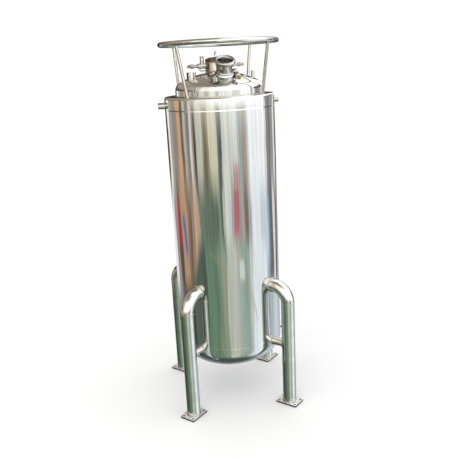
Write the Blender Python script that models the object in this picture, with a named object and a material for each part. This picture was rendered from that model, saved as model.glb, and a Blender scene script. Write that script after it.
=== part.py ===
"""A jacketed vertical storage tank of polished stainless steel, one object per sub-part.

Metres, +Z up. The floor is z = 0, the tank's axis is the Z axis and its front looks along -Y.
A place round the tank is an azimuth in degrees: 0 is the front (-Y), 90 is the right (+X).
"""

from math import asin, cos, degrees, pi, radians, sin, tau

import bmesh
import bpy
from mathutils import Matrix, Vector

# Gap kept between touching pieces, and how finely round shapes are cut
GAP = 0.0003
SHELL_SEGMENTS = 60
TUBE_SEGMENTS = 24
SMALL_SEGMENTS = 16

# Shells: the outer jacket, the vessel inside it and their sheet
SHEET = 0.003
JACKET_R = 0.253
JACKET_SEAM_Z = 0.324
BAND_Z = 1.434
RIM_Z = 1.489
RIM_CORNER = 0.010
HEAD_FLANGE = 0.027
HEAD_DEPTH = JACKET_R / 2
VESSEL_R = 0.200
VESSEL_TOP_Z = 1.5135
VESSEL_BOTTOM_Z = 0.345
DOME_CROWN_R = 2 * VESSEL_R
DOME_KNUCKLE_R = VESSEL_R / 5

# Legs: tube posts under elbows, each with a brace and a foot plate
CORNERS = {"front_right": 45, "back_right": 135, "back_left": -135, "front_left": -45}
LEG_RADIUS = 0.338
LEG_TUBE_R = 0.03175
LEG_WALL = 0.002
ELBOW_Z = 0.600
ELBOW_BEND = 0.076
ELBOW_STEPS = 7
BRACE_Z = 0.310
BRACE_TUBE_R = 0.019
PLATE_LENGTH = 0.110
PLATE_WIDTH = 0.080
PLATE_THICKNESS = 0.008
PLATE_HOLE_R = 0.005
PLATE_HOLES_LONG = 0.086
PLATE_HOLES_WIDE = 0.055

# Guard ring round the top fittings, on four leaning posts
RING_R = 0.2625
RING_X = 0.007
RING_Z = 1.7165
RING_TUBE_R = 0.0115
RING_STEPS = 10
POST_FOOT_R = 0.235
POST_TOPS = {"front_right": 45, "back_right": 135, "back_left": -135, "front_left": -52}
POST_TUBE_R = 0.007

# Jacket nozzles: azimuth, height, radius and how far out each one ends
NOZZLES = {
    "jacket_nozzle_left": (-90, 1.451, 0.014, 0.283),
    "jacket_nozzle_right": (90, 1.451, 0.010, 0.279),
    "jacket_nozzle_low": (90, 0.302, 0.014, 0.279),
}
NOZZLE_WALL = 0.002

# Front port: an open clamped neck that leans forward
PORT_FOOT_R = 0.1596
PORT_LEAN = 27
PORT_TUBE_R = 0.03175
PORT_BORE_R = 0.0285
PORT_COLLAR_R = 0.035
PORT_COLLAR_T = 0.001
PORT_COLLAR_FLARE = 0.006
PORT_COLLAR_GAP = 0.0015
PORT_LIP_FLARE_Z = 0.062
PORT_LIP_FLARE = 0.012
PORT_FLANGE_R = 0.03875
PORT_FLANGE_T = 0.006
PORT_JOINT = 0.020
PORT_GASKET_R = 0.0377
PORT_GASKET_T = 0.0016
PORT_ROOT = -0.040
PORT_LIP_PLACE = 0.0877
PORT_LIP_R = 0.008
PORT_LIP_CENTRE = 0.0375
CLAMP_TURN = 8
CLAMP_R = 0.0425
CLAMP_HEIGHT = 0.034
CLAMP_SPLIT = 0.008
LUG_REACH = 0.064
LUG_LENGTH = 0.027
LUG_HEIGHT = 0.022
BOLT_PLACE = 0.056
BOLT_R = 0.004
BOLT_HEAD_R = 0.0075
BOLT_HEAD_T = 0.008
BOLT_THREAD = {"left": 0.020, "right": 0.006}
NUT_R = 0.0078
NUT_LENGTH = {"left": 0.028, "right": 0.014}
NUT_CROWN = 0.005

# Crown fitting: an upright neck with a domed cap and an arm to each side
CROWN_X = -0.009
CROWN_R = 0.0475
CROWN_CAP_Z = 1.632
CROWN_SHOULDER_Z = 1.6465
CROWN_TOP_Z = 1.6555
ARM_Z = 1.618
ARM_R = 0.012
ARM_CONE = 0.013
ARM_NECK = 0.008
ARM_NECK_R = 0.0065
ARM_COUPLING = 0.018
ARM_COUPLING_R = 0.0095
LEFT_ARM_END = -0.126
RIGHT_ARM_END = 0.107
TIP_LENGTH = 0.014
TIP_R = 0.0085
ARM_TUBE_X = -0.0715
ARM_TUBE_R = 0.009
ARM_TUBE_TOP = 1.661
CAP_TUBE_R = 0.005
CAP_TUBE_TOP = 1.684
STEM_X = -0.083
STEM_R = 0.003
STEM_FOOT_Z = 1.597

# Short sockets on the dome, and how deep the dome's fittings are cut from
FITTING_ROOT_Z = 1.530
SOCKET_X = -0.131
SOCKET_Y = -0.065
SOCKET_R = 0.0205
SOCKET_BORE_R = 0.0135
SOCKET_TOP = 1.594
STUB_X = 0.161
STUB_R = 0.008
STUB_BORE_R = 0.006
STUB_TOP = 1.588


def clear_scene():
    """Removes every object that the open file holds."""
    for thing in list(bpy.data.objects):
        bpy.data.objects.remove(thing, do_unlink=True)


def finish(name, colour, roughness):
    """Makes a metal Principled material."""
    made = bpy.data.materials.new(name)
    made.use_nodes = True
    shader = made.node_tree.nodes["Principled BSDF"]
    shader.inputs["Base Color"].default_value = (*colour, 1.0)
    shader.inputs["Metallic"].default_value = 1.0
    shader.inputs["Roughness"].default_value = roughness
    return made


def add_object(name, bm, surface, parent=None):
    """Turns a bmesh into a named object with smooth round faces."""
    bmesh.ops.recalc_face_normals(bm, faces=bm.faces)
    mesh = bpy.data.meshes.new(name)
    bm.to_mesh(mesh)
    bm.free()
    mesh.shade_smooth()
    mesh.set_sharp_from_angle(angle=radians(35))
    if surface:
        mesh.materials.append(surface)
    made = bpy.data.objects.new(name, mesh)
    bpy.context.scene.collection.objects.link(made)
    made.parent = parent
    return made


def add_empty(name, location=(0, 0, 0), rotation=(0, 0, 0)):
    """Makes an empty that carries a group of pieces."""
    made = bpy.data.objects.new(name, None)
    bpy.context.scene.collection.objects.link(made)
    made.location = location
    made.rotation_euler = rotation
    return made


def make_cutter(piece):
    """Marks an object as a cutter, which the build leaves out."""
    piece.hide_render = True
    piece.display_type = "WIRE"
    return piece


def cut(piece, cutter, operation="DIFFERENCE"):
    """Cuts a piece with a cutter, or joins one to it."""
    step = piece.modifiers.new(cutter.name, "BOOLEAN")
    step.operation = operation
    step.object = cutter
    step.solver = "EXACT"


def turned_bmesh(outline, segments, angle=tau):
    """Spins an outline of (radius, z) points about the Z axis into a closed solid."""
    bm = bmesh.new()
    points = [bm.verts.new((radius, 0, z)) for radius, z in outline]
    edges = [bm.edges.new(pair) for pair in zip(points, points[1:])]
    if outline[0][0] > GAP:
        edges.append(bm.edges.new((points[-1], points[0])))
    whole = angle == tau
    bmesh.ops.spin(bm, geom=points + edges, axis=(0, 0, 1), angle=angle, steps=segments, use_merge=whole)
    bmesh.ops.remove_doubles(bm, verts=bm.verts, dist=1e-6)
    if not whole:
        bmesh.ops.holes_fill(bm, edges=bm.edges, sides=0)
    return bm


def turned(name, outline, surface, segments=SHELL_SEGMENTS, parent=None):
    return add_object(name, turned_bmesh(outline, segments), surface, parent)


def tube_outline(outer, inner, low, high):
    return [(inner, low), (outer, low), (outer, high), (inner, high)]


def rod_outline(radius, low, high):
    return [(0, low), (radius, low), (radius, high), (0, high)]


def arc(centre, radius, start, end, steps):
    """Points of an arc in the (radius, z) plane, from one angle to another in degrees."""
    turns = [radians(start + (end - start) * i / steps) for i in range(steps + 1)]
    return [(centre[0] + radius * cos(t), centre[1] + radius * sin(t)) for t in turns]


def round_place(radius, azimuth, z):
    """The point at an azimuth round the tank's axis."""
    turn = radians(azimuth)
    return Vector((radius * sin(turn), -radius * cos(turn), z))


def ellipse_quarter(radius, depth, z, steps=6):
    """The quarter ellipse of a dished bottom, from its lowest point out to its edge."""
    turns = [pi / 2 * i / steps for i in range(steps + 1)]
    return [(radius * sin(t), z - depth * cos(t)) for t in turns]


def dish_outline(radius, depth, z, flange):
    """A dished bottom of sheet with an upright flange, as (radius, z) points."""
    outer = ellipse_quarter(radius, depth, z) + [(radius, z + flange)]
    inner = ellipse_quarter(radius - SHEET, depth - SHEET, z) + [(radius - SHEET, z + flange)]
    return outer + inner[::-1]


def dome_curve(offset):
    """The dome's surface moved out by an offset, from its edge in to the crown."""
    inner_r = VESSEL_R - DOME_KNUCKLE_R
    crown_turn = asin(inner_r / (DOME_CROWN_R - DOME_KNUCKLE_R))
    crown_centre = VESSEL_TOP_Z - (DOME_CROWN_R - DOME_KNUCKLE_R) * cos(crown_turn)
    edge = 90 - degrees(crown_turn)
    knuckle = arc((inner_r, VESSEL_TOP_Z), DOME_KNUCKLE_R + offset, 0, edge, 4)
    crown = arc((0, crown_centre), DOME_CROWN_R + offset, edge, 90, 5)
    return knuckle[:-1] + crown[:-1] + [(0, crown_centre + DOME_CROWN_R + offset)]


def dome_z(x, y):
    """Height of the dome's outer surface within its crown."""
    crown_top = dome_curve(0)[-1][1]
    reach = Vector((x, y)).length
    return crown_top - DOME_CROWN_R + (DOME_CROWN_R**2 - reach**2) ** 0.5


def make_cutters():
    """Solids that neighbours are trimmed with: the tank's outside, the dome and the guard ring."""
    head_z = JACKET_SEAM_Z - HEAD_FLANGE
    outside = ellipse_quarter(JACKET_R + GAP, HEAD_DEPTH + GAP, head_z)
    outside += [(JACKET_R + GAP, RIM_Z - RIM_CORNER), (0, RIM_Z - RIM_CORNER)]
    ring = arc((RING_R, RING_Z), RING_TUBE_R + GAP, 0, 360, RING_STEPS)[:-1]
    dome = [(0, RIM_Z), (VESSEL_R + GAP, RIM_Z)] + dome_curve(GAP)
    cutters = {
        "outside": make_cutter(turned("cutter_outside", outside, None)),
        "ring": make_cutter(turned("cutter_ring", ring, None)),
        "dome": make_cutter(turned("cutter_dome", dome, None)),
    }
    cutters["ring"].location.x = RING_X
    return cutters


def build_jacket(steel):
    """The jacket's sheet, its formed ring at the top and its dished bottom."""
    inner_r = JACKET_R - SHEET
    sheet = tube_outline(JACKET_R, inner_r, JACKET_SEAM_Z + GAP, BAND_Z)
    turned("jacket_shell", sheet, steel)
    corner = (JACKET_R - RIM_CORNER, RIM_Z - RIM_CORNER)
    outer = [(JACKET_R, BAND_Z + GAP)] + arc(corner, RIM_CORNER, 0, 90, 3)
    inner = [(inner_r, BAND_Z + GAP)] + arc(corner, RIM_CORNER - SHEET, 0, 90, 3)
    seat = [(VESSEL_R + GAP, RIM_Z), (VESSEL_R + GAP, RIM_Z - SHEET)]
    closing = turned("jacket_closing_ring", outer + seat + inner[::-1], steel)
    head_z = JACKET_SEAM_Z - HEAD_FLANGE
    dish = dish_outline(JACKET_R, HEAD_DEPTH, head_z, HEAD_FLANGE)
    head = turned("jacket_bottom_head", dish, steel)
    return closing, head


def build_vessel(steel):
    """The inner vessel: its sheet, its domed top and its dished bottom inside the jacket."""
    inner_r = VESSEL_R - SHEET
    sheet = tube_outline(VESSEL_R, inner_r, VESSEL_BOTTOM_Z + GAP, VESSEL_TOP_Z - GAP)
    turned("vessel_shell", sheet, steel)
    turned("vessel_bottom_head", dish_outline(VESSEL_R, VESSEL_R / 2, VESSEL_BOTTOM_Z, 0), steel)
    return turned("vessel_dome", dome_curve(0)[::-1] + dome_curve(-SHEET), steel)


def elbow_bmesh():
    """A tube that leaves the tank level and bends down into the leg."""
    bm = bmesh.new()
    start = -(JACKET_R - LEG_TUBE_R / 2)
    bend_start = -(LEG_RADIUS - ELBOW_BEND)
    turns = [tau * i / TUBE_SEGMENTS for i in range(TUBE_SEGMENTS)]
    rings = [
        [bm.verts.new((radius * cos(t), start, ELBOW_Z + radius * sin(t))) for t in turns]
        for radius in (LEG_TUBE_R, LEG_TUBE_R - LEG_WALL)
    ]
    for i, point in enumerate(rings[0]):
        bm.faces.new((point, rings[0][i - 1], rings[1][i - 1], rings[1][i]))
    run = bmesh.ops.extrude_face_region(bm, geom=bm.faces[:])["geom"]
    points = [item for item in run if isinstance(item, bmesh.types.BMVert)]
    bmesh.ops.translate(bm, verts=points, vec=(0, bend_start - start, 0))
    pivot = (0, bend_start, ELBOW_Z - ELBOW_BEND)
    bmesh.ops.spin(bm, geom=run, cent=pivot, axis=(1, 0, 0), angle=pi / 2, steps=ELBOW_STEPS)
    return bm


def build_leg(corner, azimuth, steel, cutters):
    """One leg: foot plate, post, elbow and brace, carried by an empty turned to its azimuth."""
    frame = add_empty("leg_frame_" + corner, rotation=(0, 0, radians(azimuth)))
    foot = (0, -LEG_RADIUS, 0)
    bm = bmesh.new()
    bmesh.ops.create_cube(bm, size=1)
    bmesh.ops.scale(bm, vec=(PLATE_WIDTH, PLATE_LENGTH, PLATE_THICKNESS), verts=bm.verts)
    bmesh.ops.translate(bm, vec=(0, 0, PLATE_THICKNESS / 2), verts=bm.verts)
    plate = add_object("foot_plate_" + corner, bm, steel, frame)
    plate.location = foot
    cut(plate, plate_holes(corner, frame, foot))
    bore_r = LEG_TUBE_R - LEG_WALL
    post_top = ELBOW_Z - ELBOW_BEND - GAP
    post_outline = tube_outline(LEG_TUBE_R, bore_r, PLATE_THICKNESS + GAP, post_top)
    post = turned("leg_post_" + corner, post_outline, steel, TUBE_SEGMENTS, frame)
    post.location = foot
    elbow = add_object("leg_elbow_" + corner, elbow_bmesh(), steel, frame)
    cut(elbow, cutters["outside"])
    keep_off = rod_outline(LEG_TUBE_R + GAP, 0, post_top)
    leg_cutter = make_cutter(turned("cutter_leg_" + corner, keep_off, None, TUBE_SEGMENTS, frame))
    leg_cutter.location = foot
    reach = tube_outline(BRACE_TUBE_R, BRACE_TUBE_R - LEG_WALL, JACKET_R / 2, LEG_RADIUS)
    brace = turned("leg_brace_" + corner, reach, steel, TUBE_SEGMENTS, frame)
    brace.rotation_euler = (pi / 2, 0, 0)
    brace.location = (0, 0, BRACE_Z)
    cut(brace, cutters["outside"])
    cut(brace, leg_cutter)


def plate_holes(corner, frame, foot):
    """The cutter for the four bolt holes of a foot plate."""
    bm = bmesh.new()
    for x in (-PLATE_HOLES_WIDE / 2, PLATE_HOLES_WIDE / 2):
        for y in (-PLATE_HOLES_LONG / 2, PLATE_HOLES_LONG / 2):
            bmesh.ops.create_cone(
                bm,
                cap_ends=True,
                segments=SMALL_SEGMENTS,
                radius1=PLATE_HOLE_R,
                radius2=PLATE_HOLE_R,
                depth=PLATE_THICKNESS * 4,
                matrix=Matrix.Translation((x, y, 0)),
            )
    holes = make_cutter(add_object("cutter_plate_" + corner, bm, None, frame))
    holes.location = foot
    return holes


def build_guard(steel, cutters):
    """The guard ring and its four leaning posts, upright rods sheared over to the ring."""
    ring = turned("guard_ring", arc((RING_R, RING_Z), RING_TUBE_R, 0, 360, RING_STEPS)[:-1], steel)
    ring.location.x = RING_X
    height = RING_Z - RIM_Z
    for corner, azimuth in CORNERS.items():
        foot = round_place(POST_FOOT_R, azimuth, RIM_Z + GAP)
        top = round_place(RING_R, POST_TOPS[corner], RING_Z) + Vector((RING_X, 0, 0))
        lean = (top - foot) / height
        bm = turned_bmesh(rod_outline(POST_TUBE_R, 0, height), SMALL_SEGMENTS)
        for point in bm.verts:
            point.co.x += point.co.z * lean.x
            point.co.y += point.co.z * lean.y
        post = add_object("guard_post_" + corner, bm, steel)
        post.location = foot
        cut(post, cutters["ring"])


def build_nozzles(steel, cutters, closing, head):
    """Short pipes on the jacket, each over a hole in the sheet."""
    for name, (azimuth, z, radius, end_r) in NOZZLES.items():
        bore_r = radius - NOZZLE_WALL
        outline = tube_outline(radius, bore_r, JACKET_R - radius, end_r)
        pipe = turned(name, outline, steel, SMALL_SEGMENTS)
        hole = rod_outline(bore_r, JACKET_R - 3 * radius, end_r)
        drill = make_cutter(turned("cutter_" + name, hole, None, SMALL_SEGMENTS))
        for piece in (pipe, drill):
            piece.rotation_euler = (pi / 2, 0, radians(azimuth))
            piece.location = (0, 0, z)
        cut(pipe, cutters["outside"])
        cut(head if z < JACKET_SEAM_Z else closing, drill)


def build_port(steel, bronze, rubber, cutters, dome):
    """The open front port: welded neck, gasket, upper neck and a clamp with two bolts."""
    foot = (0, -PORT_FOOT_R, dome_z(0, PORT_FOOT_R))
    frame = add_empty("port_frame", foot, (radians(PORT_LEAN), 0, 0))
    low_flange = PORT_JOINT - PORT_FLANGE_T
    top_joint = PORT_JOINT + PORT_GASKET_T
    neck = [(PORT_BORE_R, PORT_ROOT), (PORT_TUBE_R, PORT_ROOT), (PORT_TUBE_R, low_flange)]
    neck += [(PORT_FLANGE_R, low_flange), (PORT_FLANGE_R, PORT_JOINT), (PORT_BORE_R, PORT_JOINT)]
    cut(turned("port_neck", neck, steel, TUBE_SEGMENTS, frame), cutters["dome"])
    seal = tube_outline(PORT_GASKET_R, PORT_BORE_R + GAP, PORT_JOINT + GAP, top_joint)
    turned("port_gasket", seal, rubber, TUBE_SEGMENTS, frame)
    low = top_joint + GAP
    flange_top = low + PORT_FLANGE_T
    shoulder = PORT_JOINT + CLAMP_HEIGHT / 2 + PORT_COLLAR_GAP
    collar_top = shoulder + PORT_COLLAR_T
    upper = [(PORT_BORE_R, low), (PORT_FLANGE_R, low), (PORT_FLANGE_R, flange_top)]
    upper += [(PORT_TUBE_R, flange_top), (PORT_TUBE_R, shoulder), (PORT_COLLAR_R, shoulder)]
    upper += [(PORT_COLLAR_R, collar_top), (PORT_TUBE_R, collar_top + PORT_COLLAR_FLARE)]
    upper += [(PORT_TUBE_R, PORT_LIP_FLARE_Z), (PORT_COLLAR_R, PORT_LIP_FLARE_Z + PORT_LIP_FLARE)]
    upper += arc((PORT_LIP_CENTRE, PORT_LIP_PLACE), PORT_LIP_R, -90, 180, 8)
    upper += [(PORT_BORE_R, PORT_LIP_PLACE - PORT_LIP_R)]
    turned("port_upper_neck", upper, steel, TUBE_SEGMENTS, frame)
    hole = rod_outline(PORT_BORE_R, PORT_ROOT, PORT_JOINT)
    drill = make_cutter(turned("cutter_port", hole, None, TUBE_SEGMENTS, frame))
    cut(dome, drill)
    middle = PORT_JOINT + PORT_GASKET_T / 2
    clamp_frame = add_empty("clamp_frame", (0, 0, middle), (0, 0, radians(CLAMP_TURN)))
    clamp_frame.parent = frame
    for side, turn in (("front", pi), ("back", 0)):
        build_clamp_half("port_clamp_" + side, turn, steel, clamp_frame)
    for side, turn in (("right", 0), ("left", pi)):
        build_clamp_bolt(side, turn, steel, bronze, clamp_frame)


def build_clamp_half(name, turn, steel, frame):
    """Half of the clamp: a grooved half ring with a lug at each end."""
    half = CLAMP_HEIGHT / 2
    groove = PORT_FLANGE_T + PORT_GASKET_T / 2 + 2 * GAP
    bore_r = PORT_TUBE_R + 2 * GAP
    groove_r = PORT_FLANGE_R + 2 * GAP
    outline = [(bore_r, -half), (CLAMP_R, -half), (CLAMP_R, half), (bore_r, half)]
    outline += [(bore_r, groove), (groove_r, groove), (groove_r, -groove), (bore_r, -groove)]
    skip = asin(CLAMP_SPLIT / 2 / CLAMP_R)
    bm = turned_bmesh(outline, TUBE_SEGMENTS // 2, pi - 2 * skip)
    bmesh.ops.rotate(bm, verts=bm.verts, matrix=Matrix.Rotation(skip, 3, "Z"))
    piece = add_object(name, bm, steel, frame)
    piece.rotation_euler = (0, 0, turn)
    for side in (-1, 1):
        inner = CLAMP_R - 0.002
        size = (LUG_REACH - inner, LUG_LENGTH, LUG_HEIGHT)
        centre = (side * (inner + LUG_REACH) / 2, (CLAMP_SPLIT + LUG_LENGTH) / 2, 0)
        lug_name = name + ("_lug_right" if side > 0 else "_lug_left")
        bm = bmesh.new()
        bmesh.ops.create_cube(bm, size=1)
        bmesh.ops.scale(bm, vec=size, verts=bm.verts)
        bmesh.ops.translate(bm, vec=centre, verts=bm.verts)
        lug = make_cutter(add_object(lug_name, bm, None, frame))
        hole = rod_outline(BOLT_R + 2 * GAP, 0, LUG_LENGTH * 2)
        drill = make_cutter(turned(lug_name + "_hole", hole, None, SMALL_SEGMENTS, frame))
        lug.rotation_euler = (0, 0, turn)
        drill.rotation_euler = (-pi / 2, 0, turn)
        drill.location = Matrix.Rotation(turn, 3, "Z") @ Vector((side * BOLT_PLACE, 0, 0))
        cut(piece, lug, "UNION")
        cut(piece, drill)


def build_clamp_bolt(side, turn, steel, bronze, frame):
    """A clamp bolt with its head at one end and a bronze cap nut at the other."""
    face = CLAMP_SPLIT / 2 + LUG_LENGTH + GAP
    place = Matrix.Rotation(turn, 3, "Z") @ Vector((BOLT_PLACE, 0, 0))
    head_end = -face - BOLT_HEAD_T
    bolt_end = face + BOLT_THREAD[side]
    bolt_outline = [(0, head_end), (BOLT_HEAD_R, head_end), (BOLT_HEAD_R, -face), (BOLT_R, -face)]
    bolt_outline += [(BOLT_R, bolt_end), (0, bolt_end)]
    bolt = turned("port_bolt_" + side, bolt_outline, steel, SMALL_SEGMENTS, frame)
    bore = BOLT_R + GAP
    bore_end = bolt_end + GAP
    nut_end = face + NUT_LENGTH[side]
    nut_outline = [(0, bore_end), (bore, bore_end), (bore, face), (NUT_R, face)]
    nut_outline += [(NUT_R, nut_end - NUT_CROWN), (NUT_CROWN, nut_end), (0, nut_end)]
    nut = turned("port_nut_" + side, nut_outline, bronze, TUBE_SEGMENTS // 2, frame)
    for piece in (bolt, nut):
        piece.rotation_euler = (pi / 2, 0, turn)
        piece.location = place


def build_arm(side, start, end, steel, brass):
    """An arm of the crown fitting: thick tube, cone, neck, coupling and a brass tip."""
    direction = 1 if end > start else -1
    length = abs(end - start)
    coupling = length - ARM_COUPLING
    neck = coupling - ARM_NECK
    outline = [(0, 0), (ARM_R, 0), (ARM_R, neck - ARM_CONE), (ARM_NECK_R, neck)]
    outline += [(ARM_NECK_R, coupling), (ARM_COUPLING_R, coupling), (ARM_COUPLING_R, length)]
    outline += [(0, length)]
    arm = turned("crown_arm_" + side, outline, steel, SMALL_SEGMENTS)
    tip_outline = [(0, GAP), (TIP_R, GAP), (TIP_R, TIP_LENGTH * 0.6), (TIP_R * 0.6, TIP_LENGTH)]
    tip = turned("crown_tip_" + side, tip_outline + [(0, TIP_LENGTH)], brass, SMALL_SEGMENTS)
    for piece, x in ((arm, start), (tip, end)):
        piece.rotation_euler = (0, direction * pi / 2, 0)
        piece.location = (x, 0, ARM_Z)


def build_crown_fitting(steel, brass, cutters):
    """The neck at the dome's top with its cap, two arms, small tubes and a stem that bends back to it."""
    body = turned("crown_body", rod_outline(CROWN_R, FITTING_ROOT_Z, CROWN_CAP_Z), steel, TUBE_SEGMENTS)
    cut(body, cutters["dome"])
    turns = [pi / 2 * i / 4 for i in range(4)]
    dome_high = CROWN_TOP_Z - CROWN_SHOULDER_Z
    cap_outline = [(0, CROWN_CAP_Z + GAP), (CROWN_R, CROWN_CAP_Z + GAP)]
    cap_outline += [(CROWN_R * cos(t), CROWN_SHOULDER_Z + dome_high * sin(t)) for t in turns]
    cap = turned("crown_cap", cap_outline + [(0, CROWN_TOP_Z)], steel, TUBE_SEGMENTS)
    cap_rod = rod_outline(CAP_TUBE_R, CROWN_TOP_Z + GAP, CAP_TUBE_TOP)
    cap_tube = turned("crown_cap_tube", cap_rod, steel, SMALL_SEGMENTS)
    for piece in (body, cap, cap_tube):
        piece.location = (CROWN_X, 0, 0)
    side_left, side_right = CROWN_X - CROWN_R - GAP, CROWN_X + CROWN_R + GAP
    build_arm("left", side_left, LEFT_ARM_END, steel, brass)
    build_arm("right", side_right, RIGHT_ARM_END, steel, brass)
    uprights = (
        ("crown_arm_tube", ARM_TUBE_X, ARM_TUBE_R, ARM_Z, ARM_TUBE_TOP),
        ("crown_stem", STEM_X, STEM_R, STEM_FOOT_Z - STEM_R, ARM_Z),
    )
    for name, x, radius, low, high in uprights:
        tube = turned(name, rod_outline(radius, low, high), steel, SMALL_SEGMENTS)
        tube.location = (x, 0, 0)
        keep_off = rod_outline(ARM_R + GAP, -CROWN_R, CROWN_R)
        trim = make_cutter(turned("cutter_" + name, keep_off, None, SMALL_SEGMENTS))
        trim.rotation_euler = (0, pi / 2, 0)
        trim.location = (x, 0, ARM_Z)
        cut(tube, trim)
    foot_outline = rod_outline(STEM_R, STEM_X + STEM_R + GAP, side_left)
    foot = turned("crown_stem_foot", foot_outline, steel, SMALL_SEGMENTS)
    foot.rotation_euler = (0, pi / 2, 0)
    foot.location = (0, 0, STEM_FOOT_Z)


def build_sockets(steel, cutters):
    """The short sockets on the dome, left of the crown and at its right."""
    sockets = (
        ("dome_socket", SOCKET_X, SOCKET_Y, SOCKET_R, SOCKET_BORE_R, SOCKET_TOP),
        ("dome_stub", STUB_X, 0, STUB_R, STUB_BORE_R, STUB_TOP),
    )
    for name, x, y, radius, bore_r, top in sockets:
        outline = tube_outline(radius, bore_r, FITTING_ROOT_Z, top)
        piece = turned(name, outline, steel, TUBE_SEGMENTS)
        piece.location = (x, y, 0)
        cut(piece, cutters["dome"])


def build_tank():
    """Builds every sub-part of the tank."""
    clear_scene()
    steel = finish("polished_steel", (0.72, 0.72, 0.70), 0.12)
    brass = finish("brass", (0.66, 0.40, 0.12), 0.3)
    bronze = finish("bronze", (0.60, 0.36, 0.12), 0.3)
    rubber = finish("gasket", (0.85, 0.85, 0.82), 0.6)
    rubber.node_tree.nodes["Principled BSDF"].inputs["Metallic"].default_value = 0.0
    cutters = make_cutters()
    closing, head = build_jacket(steel)
    dome = build_vessel(steel)
    for corner, azimuth in CORNERS.items():
        build_leg(corner, azimuth, steel, cutters)
    build_guard(steel, cutters)
    build_nozzles(steel, cutters, closing, head)
    build_port(steel, bronze, rubber, cutters, dome)
    build_crown_fitting(steel, brass, cutters)
    build_sockets(steel, cutters)


build_tank()
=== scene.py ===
"""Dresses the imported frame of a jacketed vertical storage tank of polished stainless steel.

Every piece is built in metres, where the frame has it: the floor is z = 0, the tank's axis is the Z axis
and its front looks along -Y. An azimuth is in degrees, 0 at the front and 90 at the right (+X).
"""

from math import atan2, cos, degrees, pi, radians, sin, sqrt, tan, tau

import bmesh
import bpy
from mathutils import Matrix, Vector


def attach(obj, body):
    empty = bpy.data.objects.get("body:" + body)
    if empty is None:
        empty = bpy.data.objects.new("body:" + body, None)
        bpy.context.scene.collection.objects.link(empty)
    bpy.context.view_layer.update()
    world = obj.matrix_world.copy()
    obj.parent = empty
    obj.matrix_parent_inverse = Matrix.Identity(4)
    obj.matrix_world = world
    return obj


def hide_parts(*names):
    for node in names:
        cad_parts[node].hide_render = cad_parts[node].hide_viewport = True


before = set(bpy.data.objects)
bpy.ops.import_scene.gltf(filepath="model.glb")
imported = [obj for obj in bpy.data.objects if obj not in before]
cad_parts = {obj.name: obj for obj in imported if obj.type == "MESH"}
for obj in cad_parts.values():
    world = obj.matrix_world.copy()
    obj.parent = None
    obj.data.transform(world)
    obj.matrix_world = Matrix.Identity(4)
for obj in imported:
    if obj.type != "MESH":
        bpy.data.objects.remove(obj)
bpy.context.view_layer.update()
scene = bpy.context.scene

# How finely round shapes are turned
SHELL_SEGMENTS = 192
TUBE_SEGMENTS = 64
FITTING_SEGMENTS = 48
SMALL_SEGMENTS = 32

# Eased edges
EASE = 0.0006
FINE_EASE = 0.0004
# How far a piece reaches into what it is welded to
OVERLAP = 0.001

# Shells
SHEET = 0.003
JACKET_R = 0.253
SEAM_Z = 0.324
BAND_Z = 1.434
RIM_Z = 1.489
RIM_CORNER = 0.010
HEAD_Z = 0.297
HEAD_DEPTH = JACKET_R / 2
HEAD_STEPS = 32
VESSEL_R = 0.200
VESSEL_TOP_Z = 1.5135
VESSEL_BOTTOM_Z = 0.345
CROWN_CURVE_R = 2 * VESSEL_R
KNUCKLE_R = VESSEL_R / 5
# Ground seams: how far each stands proud of the sheet, half its width, and its root in the sheet
SEAMS = {SEAM_Z: 0.0003, BAND_Z: 0.0006}
SEAM_HALF = 0.003
SEAM_ROOT = 0.002

# Legs
CORNERS = {"front_right": 45, "back_right": 135, "back_left": -135, "front_left": -45}
LEG_RADIUS = 0.338
LEG_R = 0.03175
LEG_SINK = 0.0025
ELBOW_Z = 0.600
ELBOW_BEND = 0.076
BRACE_Z = 0.310
BRACE_R = 0.019
PLATE_LENGTH = 0.110
PLATE_WIDTH = 0.080
PLATE_T = 0.008
PLATE_CORNER = 0.004
PLATE_HOLE_R = 0.005
PLATE_HOLES = (0.055, 0.086)

# Guard ring, drawn round within the solid's ten-sided tube
RING_R = 0.2625
RING_X = 0.007
RING_Z = 1.7165
RING_TUBE_R = 0.0115
HOOP_TUBE_R = RING_TUBE_R - 0.0006
POST_FOOT_R = 0.235
POST_TOPS = {"front_right": 45, "back_right": 135, "back_left": -135, "front_left": -52}
POST_R = 0.007
POST_SHORT = RING_TUBE_R * 0.7

# Jacket nozzles: azimuth, height, radius and how far out each one ends
NOZZLES = {
    "jacket_nozzle_left": (-90, 1.451, 0.014, 0.283),
    "jacket_nozzle_right": (90, 1.451, 0.010, 0.279),
    "jacket_nozzle_low": (90, 0.302, 0.014, 0.279),
}
NOZZLE_WALL = 0.002
NOZZLE_ROOT_R = 0.249

# Front port
PORT_FOOT_R = 0.1596
PORT_LEAN = 27
PORT_R = 0.03175
PORT_BORE_R = 0.0285
COLLAR_R = 0.035
LIP_FLARE_Z = 0.062
FERRULE_R = 0.03875
FERRULE_T = 0.006
PORT_JOINT = 0.020
GASKET_T = 0.0016
LIP_PLACE = 0.0877
LIP_R = 0.008
LIP_CENTRE = 0.0375
FILLET = 0.003
FERRULE_SLOPE = 0.002
FERRULE_CORNER = 0.0012
CLAMP_TURN = 8
CLAMP_R = 0.0425
CLAMP_HEIGHT = 0.034
CLAMP_SPLIT = 0.008
CLAMP_SLOPE = (0.006, 0.008)
CLAMP_PLAY = 0.0006
LUG_REACH = 0.064
LUG_LENGTH = 0.027
LUG_HEIGHT = 0.022
BOLT_PLACE = 0.056
BOLT_R = 0.004
BOLT_HEAD_R = 0.0075
BOLT_HEAD_Z = 0.008
WASHER_R = 0.0082
WASHER_T = 0.0016
NUT_R = 0.0078
NUT_CAP_R = 0.0062
NUT_HEIGHT = 0.0138
NUT_REACH = {"left": 0.028, "right": 0.014}

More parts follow.
